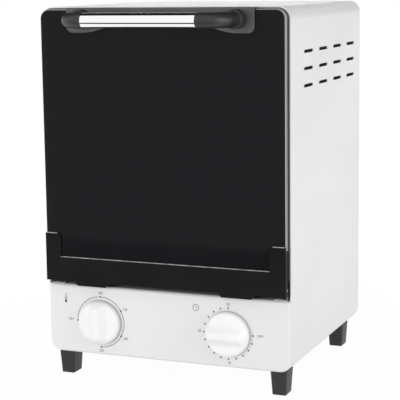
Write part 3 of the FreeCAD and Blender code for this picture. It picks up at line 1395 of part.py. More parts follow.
def build():
    make_outer_wrap()
    make_back_panel()
    make_back_screws()
    make_bottom_plate()
    make_control_panel()
    make_front_frame()
    make_front_sill()
    make_cavity_shell()
    make_cavity_brackets()
    make_heat_shield()
    make_heaters()
    make_heater_bushes()
    make_wire_rack()
    make_door_glass()
    make_door_rail()
    make_rail_packing()
    make_handle_plate()
    make_handle_packing()
    make_handle_bar()
    make_handle_bolts()
    make_bracket_screws()
    make_spring_anchors()
    for word, side in (("left", -1), ("right", 1)):
        make_handle_elbow("handle_elbow_" + word, side)
        make_hinge_bracket("hinge_bracket_" + word, side)
        make_hinge_pin("hinge_pin_" + word, side)
        make_hinge_arm("hinge_arm_" + word, side)
        make_door_spring("door_spring_" + word, side)
    make_knob("temperature_knob", -size.TemperatureOffset, True)
    make_dial_shaft("temperature_shaft", -size.TemperatureOffset)
    make_knob("timer_knob", size.TimerOffset, False)
    make_dial_shaft("timer_shaft", size.TimerOffset)
    make_thermostat()
    make_thermostat_bulb()
    make_bulb_clips()
    make_timer()
    make_terminal_block()
    make_cord_gland()
    make_feet()
    doc.recompute()


def check_document():
    """Stop if anything failed to build or a cut took nothing away."""
    for item in doc.Objects:
        if "Invalid" in item.State or "Error" in item.State:
            raise RuntimeError("%s is %s" % (item.Name, item.State))
        if item.TypeId == "PartDesign::Pocket" and item.BaseFeature.Shape.Volume - item.Shape.Volume < 0.01:
            raise RuntimeError("%s cuts nothing" % item.Name)
    for item in parts:
        if item.Shape.isNull() or not item.Shape.isValid():
            raise RuntimeError("%s has no valid shape" % item.Label)


def write_parts():
    os.makedirs("parts", exist_ok=True)
    for item in parts:
        item.Shape.exportStep(os.path.join("parts", item.Label + ".step"))


build()
check_document()
write_parts()
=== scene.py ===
"""Dry heat sterilizer: finishes, moulded and turned pieces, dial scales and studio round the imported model.

The frame is in metres, +Z up, and the front faces -Y. Sizes are millimetres unless a name says otherwise.
"""
import json
import math

import bpy
import numpy as np
from mathutils import Matrix, Vector

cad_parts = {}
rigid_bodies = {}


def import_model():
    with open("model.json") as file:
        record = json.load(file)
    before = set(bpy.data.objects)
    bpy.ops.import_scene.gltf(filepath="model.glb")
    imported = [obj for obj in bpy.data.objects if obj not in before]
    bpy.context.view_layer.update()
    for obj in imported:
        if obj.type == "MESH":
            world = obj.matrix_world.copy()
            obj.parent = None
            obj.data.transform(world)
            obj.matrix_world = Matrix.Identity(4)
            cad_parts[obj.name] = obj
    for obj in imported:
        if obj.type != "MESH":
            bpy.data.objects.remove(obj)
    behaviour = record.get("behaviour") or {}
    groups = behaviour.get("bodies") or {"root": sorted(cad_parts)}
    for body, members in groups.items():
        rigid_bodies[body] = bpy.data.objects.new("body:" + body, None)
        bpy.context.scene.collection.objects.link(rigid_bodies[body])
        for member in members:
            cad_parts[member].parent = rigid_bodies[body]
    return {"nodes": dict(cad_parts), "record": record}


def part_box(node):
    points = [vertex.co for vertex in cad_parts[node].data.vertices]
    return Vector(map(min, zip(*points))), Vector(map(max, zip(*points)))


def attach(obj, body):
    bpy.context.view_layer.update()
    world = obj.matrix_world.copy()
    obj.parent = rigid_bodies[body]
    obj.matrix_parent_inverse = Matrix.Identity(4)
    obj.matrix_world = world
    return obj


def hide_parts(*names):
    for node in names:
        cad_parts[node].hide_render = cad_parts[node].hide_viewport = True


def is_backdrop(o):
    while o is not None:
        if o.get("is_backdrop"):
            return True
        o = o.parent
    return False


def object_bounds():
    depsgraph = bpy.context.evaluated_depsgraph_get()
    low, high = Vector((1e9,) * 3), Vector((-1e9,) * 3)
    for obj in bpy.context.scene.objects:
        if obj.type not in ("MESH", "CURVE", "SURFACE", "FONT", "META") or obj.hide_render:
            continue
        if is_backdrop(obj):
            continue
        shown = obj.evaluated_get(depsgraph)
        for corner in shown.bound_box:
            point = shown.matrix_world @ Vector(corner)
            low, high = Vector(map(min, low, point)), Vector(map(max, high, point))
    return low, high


MM = 0.001
TURN = 2 * math.pi

# An empty file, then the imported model

for leftover in list(bpy.data.objects):
    bpy.data.objects.remove(leftover)
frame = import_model()
cad_low, cad_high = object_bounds()

# Colours and nodes


def colour(code, alpha=1.0):
    """Linear colour of an sRGB hex code such as "efefec"."""
    channels = np.array([int(code[k:k + 2], 16) for k in (0, 2, 4)]) / 255
    linear = np.where(channels <= 0.04045, channels / 12.92, ((channels + 0.055) / 1.055) ** 2.4)
    return (*linear.tolist(), alpha)


def add(tree, kind, settings=None, inputs=None):
    """Add a node. An input is a plain value, or another node's socket to link."""
    node = tree.nodes.new("ShaderNode" + kind)
    for name, value in (settings or {}).items():
        setattr(node, name, value)
    for name, value in (inputs or {}).items():
        if isinstance(value, bpy.types.NodeSocket):
            tree.links.new(value, node.inputs[name])
        else:
            node.inputs[name].default_value = value
    return node


def scale_of(size):
    """Texture scale, per metre, whose features are about this many millimetres across."""
    return 1 / (size * MM)


class Pattern:
    """A noise over the object: its feature size in mm, its stretch along the axes, and what it changes.

    The noise from low to high is spread over 0 to 1. That share blends the colour towards the tint, and is
    added to the roughness, rough times. The height is the depth of the bump in mm.
    """

    def __init__(self, size, kind="Noise", along=(1, 1, 1), tint=None, rough=0.0, height=0.0,
                 low=0.35, high=0.65):
        self.size = size
        self.kind = kind
        self.along = along
        self.tint = tint
        self.rough = rough
        self.height = height
        self.low = low
        self.high = high


def finish(name, base, metallic=0.0, roughness=0.5, patterns=(), **sockets):
    """Principled material whose colour, roughness and bump follow its patterns, in Object coordinates."""
    material = bpy.data.materials.new(name)
    material.use_nodes = True
    tree = material.node_tree
    tree.nodes.clear()
    place = add(tree, "TexCoord")
    tone = colour(base)
    rough = roughness
    normal = None
    for pattern in patterns:
        stretch = [scale_of(pattern.size) / length for length in pattern.along]
        where = add(tree, "Mapping", None, {"Vector": place.outputs["Object"], "Scale": stretch})
        if pattern.kind == "Noise":
            made = add(tree, "TexNoise", None, {"Vector": where.outputs[0], "Scale": 1.0, "Detail": 3.0})
            value = made.outputs[0]
        else:
            made = add(tree, "TexVoronoi", {"feature": "F1"}, {"Vector": where.outputs[0], "Scale": 1.0})
            value = add(tree, "SeparateColor", None, {"Color": made.outputs["Color"]}).outputs[0]
        spread = add(tree, "MapRange", {"clamp": True},
                     {"Value": value, "From Min": pattern.low, "From Max": pattern.high})
        share = spread.outputs["Result"]
        if pattern.tint:
            mix = add(tree, "Mix", {"data_type": "RGBA"}, {0: share, 6: tone, 7: colour(pattern.tint)})
            tone = mix.outputs[2]
        if pattern.rough:
            rough = add(tree, "Math", {"operation": "MULTIPLY_ADD"},
                        {0: share, 1: pattern.rough, 2: rough}).outputs[0]
        if pattern.height:
            bump = {"Height": value, "Distance": pattern.height * MM, "Strength": 1.0}
            if normal:
                bump["Normal"] = normal
            normal = add(tree, "Bump", None, bump).outputs[0]
    inputs = {"Base Color": tone, "Metallic": metallic, "Roughness": rough}
    if normal:
        inputs["Normal"] = normal
    inputs.update({key.replace("_", " "): value for key, value in sockets.items()})
    shader = add(tree, "BsdfPrincipled", None, inputs)
    add(tree, "OutputMaterial", None, {"Surface": shader.outputs[0]})
    return material


# Finishes, by the record's slots

FINISHES = {
    # Polyester powder coat on steel sheet: slightly warm white, soft orange peel from the melted grains
    "white_enamel": finish("white_powder_coat", "e9e8e7", roughness=0.36, IOR=1.5, patterns=(
        Pattern(120, tint="e6e5e3", rough=0.05), Pattern(2.2, height=0.02))),
    # Black baked enamel on folded sheet: smooth, half gloss, a little uneven
    "dark_enamel": finish("black_baked_enamel", "0c0c0d", roughness=0.36, IOR=1.5, patterns=(
        Pattern(40, tint="101011", rough=0.10), Pattern(1.6, height=0.012)), Specular_IOR_Level=0.16),
    # Dull grey heat-proof paint, sprayed thin: matt with a fine grain
    "frame_enamel": finish("grey_heat_paint", "6e6e70", roughness=0.62, IOR=1.5, patterns=(
        Pattern(25, tint="767678", rough=0.08), Pattern(0.9, height=0.02))),
    # Stainless steel sheet, finely brushed along its length: long scratches half a millimetre apart
    "stainless": finish("brushed_stainless_steel", "a9a8a4", metallic=1.0, roughness=0.26, patterns=(
        Pattern(0.7, along=(1, 60, 1), rough=0.16, height=0.006), Pattern(60, tint="9c9a94", rough=0.08))),
    # Electroplated zinc, passivated: grey blue with faint cloudy spangles
    "zinc_plate": finish("passivated_zinc_plate", "b4b8bc", metallic=1.0, roughness=0.34, patterns=(
        Pattern(6, kind="Voronoi", tint="a6a9a6", rough=0.10, low=0.0, high=1.0),
        Pattern(0.8, height=0.006))),
    # Nickel-plated turned steel: bright with fine turning marks
    "bright_steel": finish("nickel_plated_steel", "c6c4be", metallic=1.0, roughness=0.20, patterns=(
        Pattern(0.35, along=(1, 1, 8), rough=0.12, height=0.004),)),
    # Anodised aluminium clip, dark grey, brushed along the door
    "grey_metal": finish("grey_anodised_aluminium", "6e6f70", metallic=1.0, roughness=0.42, patterns=(
        Pattern(0.5, along=(50, 1, 1), rough=0.12, height=0.005), Pattern(30, tint="666768"))),
    # Chrome plate on polished tube: mirror bright, written lighter than the plain metal, as the tube shows
    "chrome_plate": finish("polished_chrome", "f8f9fa", metallic=1.0, roughness=0.045, patterns=(
        Pattern(18, rough=0.02),)),
    # Chrome-nickel plate on drawn wire: bright but soft
    "rack_plate": finish("chromed_wire", "c9cacb", metallic=1.0, roughness=0.20, patterns=(
        Pattern(1.4, along=(1, 6, 1), rough=0.10, height=0.006),)),
    # Black ABS moulding with a fine spark-eroded skin
    "black_plastic": finish("black_moulded_abs", "1e1e20", roughness=0.44, IOR=1.5, patterns=(
        Pattern(0.5, rough=0.10, height=0.02), Pattern(18, tint="232325"))),
    # Phenolic moulding, half gloss, the feel of an oven handle
    "elbow_plastic": finish("dark_phenolic_moulding", "202022", roughness=0.42, IOR=1.55, patterns=(
        Pattern(12, tint="29292b", rough=0.06), Pattern(0.9, height=0.008))),
    # White ABS moulding, half gloss, polished mould
    "white_plastic": finish("white_moulded_abs", "f7f6f5", roughness=0.30, IOR=1.5, patterns=(
        Pattern(30, tint="f3f2f1", rough=0.06), Pattern(1.1, height=0.006))),
    # Silicone rubber strip: matt black with a dusty bloom
    "dark_rubber": finish("black_silicone_rubber", "1b1b1b", roughness=0.74, IOR=1.43, patterns=(
        Pattern(5, tint="242424", rough=0.08), Pattern(0.6, height=0.02))),
    # Steatite, pressed and fired unglazed: cream with small dark grains
    "white_ceramic": finish("steatite_ceramic", "e2dccd", roughness=0.58, IOR=1.6, patterns=(
        Pattern(0.9, tint="d3ccbb", rough=0.10, height=0.02, low=0.5),)),
    # Drawn copper capillary: warm, slightly browned
    "copper_tube": finish("drawn_copper", "c07f5c", metallic=1.0, roughness=0.28, patterns=(
        Pattern(9, tint="a3684a", rough=0.12),)),
    # Yellow chromate on pressed steel: gold with greenish and reddish clouds
    "gold_bell": finish("yellow_passivated_steel", "c9ab5d", metallic=1.0, roughness=0.24, patterns=(
        Pattern(10, tint="b79a6a", rough=0.10),)),
    # Grey tinted float glass, 5 mm, before a dark oven: nearly black, and only strong light comes through
    "dark_glass": finish("tinted_float_glass", "1c1c1e", roughness=0.04, patterns=(
        Pattern(70, rough=0.02),), IOR=1.45, Alpha=0.90, Specular_IOR_Level=0.08),
}
# Painted shade on the knob's flank: light grey on the white moulding's steep faces near the rim, standing in
# for the shade the flank is in; it draws a soft ring round the white face
FLANK_PAINTED_SHADE = finish("satin_grey_abs", "cbcbc9", roughness=0.5, IOR=1.5, patterns=(Pattern(1.1, height=0.006),))
# Pad-printed ink, flat dark grey, a little rough on the coat
INK = finish("printed_dark_ink", "38383a", roughness=0.55, IOR=1.5, patterns=(Pattern(1.0, tint="414143"),))
# Edge of the door glass, ground and left matt: pale grey, since the cut scatters the light
GROUND_EDGE = finish("ground_glass_edge", "9a9d9c", roughness=0.5, IOR=1.5, patterns=(
    Pattern(1.2, rough=0.1),))
# Painted highlight along the rail's bent top edges: light grey with darker patches at random, standing in for
# the light those edges catch
RAIL_EDGE_HIGHLIGHT = finish("rubbed_steel_edge", "a4a4a6", roughness=0.45, IOR=1.5, patterns=(
    Pattern(9, tint="707072"),))

slots = {entry["node"]: entry["material_slot"] for entry in frame["record"]["subparts"]}
for node in frame["nodes"].values():
    for place in node.material_slots:
        place.material = FINISHES[slots[node.name]]


def coat(mesh, material, chosen):
    """Give a second material to the faces that chosen(centres, normals) picks, with centres in mm."""
    centres = np.empty(len(mesh.polygons) * 3)
    normals = np.empty(len(mesh.polygons) * 3)
    mesh.polygons.foreach_get("center", centres)
    mesh.polygons.foreach_get("normal", normals)
    mesh.materials.append(material)
    wanted = chosen(centres.reshape(-1, 3) / MM, normals.reshape(-1, 3))
    mesh.polygons.foreach_set("material_index", wanted.astype(np.int32))


PANE_STEEPNESS = 0.98


def off_the_faces(centres, normals):
    """Picks what is neither the front nor the back face of an upright pane."""
    return np.abs(normals[:, 1]) < PANE_STEEPNESS


coat(frame["nodes"]["door_glass"].data, GROUND_EDGE, off_the_faces)

# Surfaces


def outward(points, faces):
    """The closed surface with its faces turned out: the sum of its corner tetrahedra has to be positive."""
    halves = [face[:3] for face in faces]
    halves += [[face[0], face[2], face[3]] for face in faces if len(face) > 3]
    first, second, third = (points[np.array(halves)[:, k]] for k in range(3))
    if np.einsum("ij,ij->", first, np.cross(second, third)) < 0:
        faces = [face[::-1] for face in faces]
    return points, faces


def skin(grid, loop=False):
    """A closed surface over a grid. Columns run round, rows run along, and they join up or end in fans."""
    rows, columns = grid.shape[:2]
    points = grid.reshape(-1, 3)
    ring = np.arange(columns)
    after = (ring + 1) % columns
    near = np.arange(rows if loop else rows - 1)[:, None] * columns
    far = (near + columns) % (rows * columns)
    faces = np.stack([near + ring, near + after, far + after, far + ring], -1).reshape(-1, 4).tolist()
    if not loop:
        last = (rows - 1) * columns
        start = np.full(columns, len(points))
        points = np.vstack([points, grid[0].mean(0), grid[-1].mean(0)])
        faces += np.stack([after, ring, start], -1).tolist()
        faces += np.stack([last + ring, last + after, start + 1], -1).tolist()
    return outward(points, faces)


def piece(name, shells, slot, body, replaces=(), material=None, sharp=35):
    """One object of several closed surfaces, its place in its mesh, riding on a body."""
    points = np.vstack([shell[0] for shell in shells]) * MM
    starts = np.cumsum([0] + [len(shell[0]) for shell in shells])
    faces = [[corner + start for corner in face] for shell, start in zip(shells, starts) for face in shell[1]]
    mesh = bpy.data.meshes.new(name)
    mesh.from_pydata(points, [], faces)
    mesh.shade_smooth()
    mesh.set_sharp_from_angle(angle=math.radians(sharp))
    mesh.materials.append(material or FINISHES[slot])
    made = bpy.data.objects.new(name, mesh)
    bpy.context.scene.collection.objects.link(made)
    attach(made, body)
    if replaces:
        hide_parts(*replaces)
    return made


def bent(corners, radii, step=1.0, bend_steps=8):
    """Points along straight runs, with a tangent arc of the given radius at each inner corner.

    An arc starts radius / tan(half the angle) before its corner. Its points are its first and last spoke,
    each weighted by the sine of its share of the sweep.
    """
    corners = [np.array(corner, float) for corner in corners]
    marks = [corners[0][None]]
    for before, corner, after, radius in zip(corners, corners[1:], corners[2:], radii):
        back = (before - corner) / np.linalg.norm(before - corner)
        ahead = (after - corner) / np.linalg.norm(after - corner)
        half = math.acos(np.clip(back @ ahead, -1, 1)) / 2
        trim = radius / math.tan(half)
        middle = corner + (back + ahead) / np.linalg.norm(back + ahead) * radius / math.sin(half)
        first = corner + back * trim - middle
        last = corner + ahead * trim - middle
        sweep = math.pi - 2 * half
        share = np.linspace(0, 1, bend_steps + 1)[:, None]
        spokes = np.sin((1 - share) * sweep) * first + np.sin(share * sweep) * last
        marks.append(middle + spokes / math.sin(sweep))
    marks.append(corners[-1][None])
    marks = np.vstack(marks)
    lengths = np.linalg.norm(np.diff(marks, axis=0), axis=1)
    runs = []
    for start, end, length in zip(marks, marks[1:], lengths):
        if length > 1e-9:
            share = np.linspace(0, 1, max(1, math.ceil(length / step)), endpoint=False)[:, None]
            runs.append(share * (end - start) + start)
    return np.vstack(runs + [marks[-1:]])


def circle(radius, columns):
    """A ring of points round the origin, one row for each radius."""
    turn = np.arange(columns) * TURN / columns
    return np.asarray(radius)[..., None, None] * np.stack([np.cos(turn), np.sin(turn)], -1)


def rounded(half_x, half_y, corner, steps=8):
    """A rectangle with round corners; with half sizes equal to the corner it is a circle."""
    turn = (np.arange(4 * steps) % steps) / (steps - 1) * TURN / 4 + np.arange(4 * steps) // steps * TURN / 4
    side = np.arange(4 * steps) // steps
    sign_x = np.where((side == 0) | (side == 3), 1, -1)
    sign_y = np.where(side < 2, 1, -1)
    return np.stack([sign_x * (half_x - corner) + corner * np.cos(turn),
                     sign_y * (half_y - corner) + corner * np.sin(turn)], -1)


def carried(path, rings, up, loop=False):
    """A ring carried along a path: at each station it stands across it, its second axis nearest to up."""
    if loop:
        tangent = np.roll(path, -1, 0) - np.roll(path, 1, 0)
    else:
        tangent = np.gradient(path, axis=0)
    tangent /= np.linalg.norm(tangent, axis=1, keepdims=True)
    side = np.cross(tangent, up)
    side /= np.linalg.norm(side, axis=1, keepdims=True)
    top = np.cross(side, tangent)
    rings = np.broadcast_to(rings, (len(path),) + np.shape(rings)[-2:])
    return path[:, None] + rings[..., :1] * side[:, None] + rings[..., 1:] * top[:, None]


def stations(path, places):
    """Points of the path at the given distances along it, and the path's direction there."""
    lengths = np.concatenate([[0], np.cumsum(np.linalg.norm(np.diff(path, axis=0), axis=1))])
    slopes = np.gradient(path, axis=0)
    at = np.stack([np.interp(places, lengths, path[:, k]) for k in range(3)], -1)
    ahead = np.stack([np.interp(places, lengths, slopes[:, k]) for k in range(3)], -1)
    return at, ahead / np.linalg.norm(ahead, axis=1, keepdims=True)


def turned(profile, centre, axis, columns=48, wave=None):
    """A profile of (radius, height) rows turned round an axis; wave(turn, height) is added to the radius."""
    axis = np.array(axis, float)
    across = np.array([0, 0, 1.0]) if abs(axis[2]) < 0.5 else np.array([1.0, 0, 0])
    other = np.cross(axis, across)
    profile = np.asarray(profile, float)
    turn = np.arange(columns) * TURN / columns
    radius = profile[:, :1] + (wave(turn[None], profile[:, 1:]) if wave else 0)
    height = profile[:, 1:, None] * axis
    return (np.array(centre, float) + height + radius[..., None] * (np.cos(turn)[None, :, None] * across
                                                                    + np.sin(turn)[None, :, None] * other))


def wire(start, end, radius, columns=16):
    """A straight wire with rounded ends: a quarter circle, a straight line and a quarter circle, turned."""
    start, end = np.array(start, float), np.array(end, float)
    length = np.linalg.norm(end - start)
    cap = np.linspace(0.05, 1, 6) * TURN / 4
    near = np.column_stack([radius * np.sin(cap), radius * (1 - np.cos(cap))])
    far = np.column_stack([near[::-1, 0], length - near[::-1, 1]])
    return skin(turned(np.vstack([near, far]), start, (end - start) / length, columns))


def smooth(low, high, value):
    """Zero below low, one above high, and a smooth S between them."""
    share = np.clip((value - low) / (high - low), 0, 1)
    return share * share * (3 - 2 * share)


def box_of(name):
    """Lowest and highest corner of a node, in millimetres."""
    low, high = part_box(name)
    return np.array(low) / MM, np.array(high) / MM


def middle_of(name):
    """Middle of a node's box, in millimetres."""
    low, high = box_of(name)
    return (low + high) / 2


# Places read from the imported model

PANEL_LOW, PANEL_HIGH = box_of("control_panel")
PANEL_Y = PANEL_LOW[1]
BACK_Y = box_of("back_panel")[1][1]
HEAT_DIAL = middle_of("temperature_knob")
CLOCK_DIAL = middle_of("timer_knob")

# Knobs, their heights measured forward from the panel

KNOB_RIM = 22.9
KNOB_SHOULDER = 21.5
KNOB_DISC = 19.0
KNOB_WALL = 2.0
KNOB_ROOF = 18.3
HUB_RADIUS = 6.0
SHAFT_RADIUS = 3.05
CROWN_HEIGHT = 8.9
DISC_HEIGHT = 7.6
SHOULDER_HEIGHT = 6.4
RIM_HEIGHT = 2.4
ROOF_HEIGHT = 4.6
HUB_HEIGHT = 3.6
SHAFT_HEIGHT = 12.0
PANEL_GAP = 0.6
KNOB_SOLE = 0.4
KNOB_COLUMNS = 240
GRIP_HALF = (7.5, 19.5)
GRIP_TOP = 14.5
GRIP_FALL = (0.35, 0.5)
GRIP_CORNER = 5.5
GRIP_BLEND = (-6.5, 4.5)


def knob_surface(middle, upright):
    """Knob over the disc (radius, turn): a turned profile, raised to the grip's height inside a rounded bar.

    The share of the grip is a smooth step of the signed distance from the bar's outline. The grip's crest is
    a plane less a share of the squares of both distances from its middle.
    """
    outer = bent([(0.5, CROWN_HEIGHT), (KNOB_DISC, DISC_HEIGHT), (KNOB_SHOULDER, SHOULDER_HEIGHT),
                  (KNOB_RIM, RIM_HEIGHT), (KNOB_RIM, PANEL_GAP)], (3.0, 1.2, 1.0), step=0.4)
    wall = KNOB_RIM - KNOB_WALL
    inner = bent([(KNOB_RIM - KNOB_SOLE, PANEL_GAP), (wall, PANEL_GAP), (wall, RIM_HEIGHT),
                  (KNOB_ROOF, ROOF_HEIGHT), (HUB_RADIUS, ROOF_HEIGHT), (HUB_RADIUS, HUB_HEIGHT),
                  (SHAFT_RADIUS, HUB_HEIGHT), (SHAFT_RADIUS, SHAFT_HEIGHT)],
                 (0.2, 0.6, 0.6, 0.3, 0.2, 0.1), step=4.0, bend_steps=3)
    profile = np.vstack([outer, inner])
    turn = np.arange(KNOB_COLUMNS) * TURN / KNOB_COLUMNS
    across = profile[:, :1] * np.cos(turn)
    along = profile[:, :1] * np.sin(turn)
    corner_x = np.abs(across) - (GRIP_HALF[0] - GRIP_CORNER)
    corner_z = np.abs(along) - (GRIP_HALF[1] - GRIP_CORNER)
    outside = np.hypot(np.maximum(corner_x, 0), np.maximum(corner_z, 0))
    gap = outside + np.minimum(np.maximum(corner_x, corner_z), 0) - GRIP_CORNER
    share = 1 - smooth(*GRIP_BLEND, gap)
    share[len(outer):] = 0
    crest = (GRIP_TOP - GRIP_FALL[1] * (along / GRIP_HALF[1]) ** 2
             - GRIP_FALL[0] * (across / GRIP_HALF[0]) ** 2)
    height = profile[:, 1:] + share * (crest - profile[:, 1:])
    sideways, upwards = (across, along) if upright else (along, -across)
    return skin(np.stack([middle[0] + sideways, PANEL_Y - height, middle[2] + upwards], -1))


# Where the painted shade lies on a knob: outside this radius, steeper than this, and within this height of
# the panel
FLANK_SHADE_INNER = 20.5
FLANK_SHADE_HEIGHT = 3.8
FLANK_SHADE_STEEPNESS = 0.8


def flank_shade_faces(middle):
    """Makes the choice of the knob's flank that takes the painted shade: faces near the rim, steep, and close
    to the panel.
    """

    def chosen(centres, normals):
        """Picks the shaded flank's faces by their centres in mm and their normals."""
        reach = np.hypot(centres[:, 0] - middle[0], centres[:, 2] - middle[2])
        steep = np.abs(normals[:, 1]) < FLANK_SHADE_STEEPNESS
        return (reach > FLANK_SHADE_INNER) & steep & (centres[:, 1] > PANEL_Y - FLANK_SHADE_HEIGHT)

    return chosen


KNOBS = (
    # node, body, middle, whether its grip stands upright at rest
    ("temperature_knob", "temperature_dial", HEAT_DIAL, True),
    ("timer_knob", "timer_dial", CLOCK_DIAL, False),
)
for node, body, middle, upright in KNOBS:
    knob = piece(node + "_moulding", [knob_surface(middle, upright)], "white_plastic", body, (node,))
    # Light grey painted shade on each knob's steep flank near the rim
    coat(knob.data, FLANK_PAINTED_SHADE, flank_shade_faces(middle))

# Handle: a chrome tube between two moulded elbows

_, BAR_Y, BAR_Z = middle_of("handle_bar")
BAR_END = box_of("handle_elbow_right")[0][0]
BAR_STEP = 0.12
BAR_WALL = 1.2
ELBOW_RADIUS = 7.25
BAR_RADIUS = ELBOW_RADIUS - BAR_STEP
BAR_BORE = BAR_RADIUS - BAR_WALL


def tube_surface():
    """Tube turned round the bar's axis: out along the wall, with rounded ends, and back along the bore."""
    wall = bent([(BAR_BORE, -BAR_END), (BAR_RADIUS, -BAR_END), (BAR_RADIUS, BAR_END), (BAR_BORE, BAR_END)],
                (0.4, 0.4), step=12)
    bore = bent([(BAR_BORE, BAR_END), (BAR_BORE, -BAR_END)], (), step=30)
    profile = np.vstack([wall, bore[1:-1]])
    return skin(turned(profile, (0, BAR_Y, BAR_Z), (1, 0, 0), 96), loop=True)


piece("handle_tube", [tube_surface()], "chrome_plate", "door", ("handle_bar",))

ELBOW_BEND = 21.0
POST_FOOT = 9.25
POST_FOOT_LENGTH = 10.0
POST_FOOT_STEP = 0.9
POST_GROOVE = 0.6
BAR_SEAM = 0.1


def elbow_surface(side):
    """A round section carried from the bar, round a bend, back to a stepped round foot on the plate."""
    low, high = box_of("handle_elbow_right")
    start_x = side * (low[0] + BAR_SEAM)
    post_x = side * (high[0] - POST_FOOT)
    plate_y = high[1]
    path = bent([(start_x, BAR_Y, BAR_Z), (post_x, BAR_Y, BAR_Z), (post_x, plate_y, BAR_Z)], (ELBOW_BEND,),
                step=1.0, bend_steps=20)
    length = np.linalg.norm(np.diff(path, axis=0), axis=1).sum()
    foot = length - POST_FOOT_LENGTH
    groove = foot - POST_GROOVE
    collar = POST_FOOT - POST_FOOT_STEP
    rows = bent([(0.0, 0.5), (0.0, ELBOW_RADIUS), (groove, ELBOW_RADIUS), (groove, collar),
                 (foot, collar), (foot, POST_FOOT), (length, POST_FOOT)],
                (0.4, 0.5, 0.25, 0.25, 0.55), step=1.4, bend_steps=5)
    at, ahead = stations(path, rows[:, 0])
    across = np.cross(ahead, (0, 0, 1.0))
    ring = circle(rows[:, 1], 56)
    return skin(at[:, None] + ring[..., :1] * across[:, None] + ring[..., 1:] * np.array([0, 0, 1.0]))


for word, side in (("left", -1), ("right", 1)):
    node = f"handle_elbow_{word}"
    piece(node + "_moulding", [elbow_surface(side)], "elbow_plastic", "door", (node,))

# Plate that clips over the glass behind the handle

PLATE_SHEET = 1.0
PLATE_FOLD = 12.0
PLATE_WAIST = 16.0
PLATE_SLOPE = 45.0
PLATE_CORNER = 6.5
PLATE_LIP = 0.2
PLATE_STATIONS = 161


def plate_surface():
    """A folded section carried along x, its front leaf's lower edge a smooth step from waist to full height.

    Near the ends the lower edge rises on a quarter circle, which rounds the plate's lower corners.
    """
    low, high = box_of("handle_plate")
    post_x = box_of("handle_elbow_right")[1][0] - POST_FOOT
    front, rear, top = low[1], high[1], high[2]
    front_inner, rear_inner, top_inner = front + PLATE_SHEET, rear - PLATE_SHEET, top - PLATE_SHEET
    fold = top - PLATE_FOLD
    section = bent([(front_inner, low[2]), (front, low[2]), (front, top), (rear, top), (rear, fold),
                    (rear_inner, fold), (rear_inner, top_inner), (front_inner, top_inner),
                    (front_inner, low[2] + PLATE_LIP)],
                   (0.3, 1.0, 1.0, 0.3, 0.3, 0.3, 0.3), step=3.0, bend_steps=4)
    x = high[0] * np.sin(np.linspace(-0.25, 0.25, PLATE_STATIONS) * TURN)
    waist = top - PLATE_WAIST - low[2]
    edge = low[2] + waist * (1 - smooth(post_x - PLATE_SLOPE, post_x, np.abs(x)))
    into = np.clip(np.abs(x) - (high[0] - PLATE_CORNER), 0, PLATE_CORNER)
    edge = edge + PLATE_CORNER - np.sqrt(PLATE_CORNER ** 2 - into ** 2)
    share = (section[:, 1] - low[2]) / (top - low[2])
    leaf = section[:, 0] < front_inner + 0.01
    height = np.where(leaf, edge[:, None] + share * (top - edge[:, None]), section[:, 1])
    sideways, depth = np.broadcast_arrays(x[:, None], section[:, 0])
    return skin(np.stack([sideways, depth, height], -1))


piece("handle_plate_pressing", [plate_surface()], "grey_metal", "door", ("handle_plate",))

# Painted highlight: light beads along the top edges of the door rail

LIP_RADIUS = 0.55
LIP_FORWARD = 0.15
LIP_SINK = 0.3
LIP_STOP = 0.8
EAR_WIDTH = 16.8
EAR_CORNER = 3.4
TAB_DROP = 4.0
RAIL_HEIGHT = 25.0


def rail_edge_highlight_beads():
    """Three thin round beads of painted highlight: one along the middle of the rail's front sheet and one on
    each ear.
    """
    low, high = box_of("door_rail")
    bead_y = low[1] + LIP_RADIUS - LIP_FORWARD
    rail_z = low[2] + TAB_DROP + RAIL_HEIGHT - LIP_SINK
    ear_z = high[2] - LIP_SINK
    ear_x = high[0] - EAR_WIDTH
    end_x = high[0] - LIP_STOP
    runs = ((-ear_x - LIP_STOP, ear_x + LIP_STOP, rail_z), (ear_x + EAR_CORNER, end_x, ear_z),
            (-end_x, -ear_x - EAR_CORNER, ear_z))
    return [wire((start, bead_y, z), (end, bead_y, z), LIP_RADIUS, 12) for start, end, z in runs]


# Light beads that stand in for the highlight on the rail's top edges
piece("door_rail_lip", rail_edge_highlight_beads(), "dark_enamel", "door", material=RAIL_EDGE_HIGHLIGHT)

# Screws. The cross and the dome are shares of a head's radius and height, the thread's depth of its pitch

CROSS_ARM = (0.09, 0.17)
CROSS_REACH = (0.42, 0.62)
CROSS_DEPTH = 0.62
DOME_FALL = 0.22
THREAD_PITCH = 0.7
THREAD_DEPTH = 0.14
SCREW_COLUMNS = 48


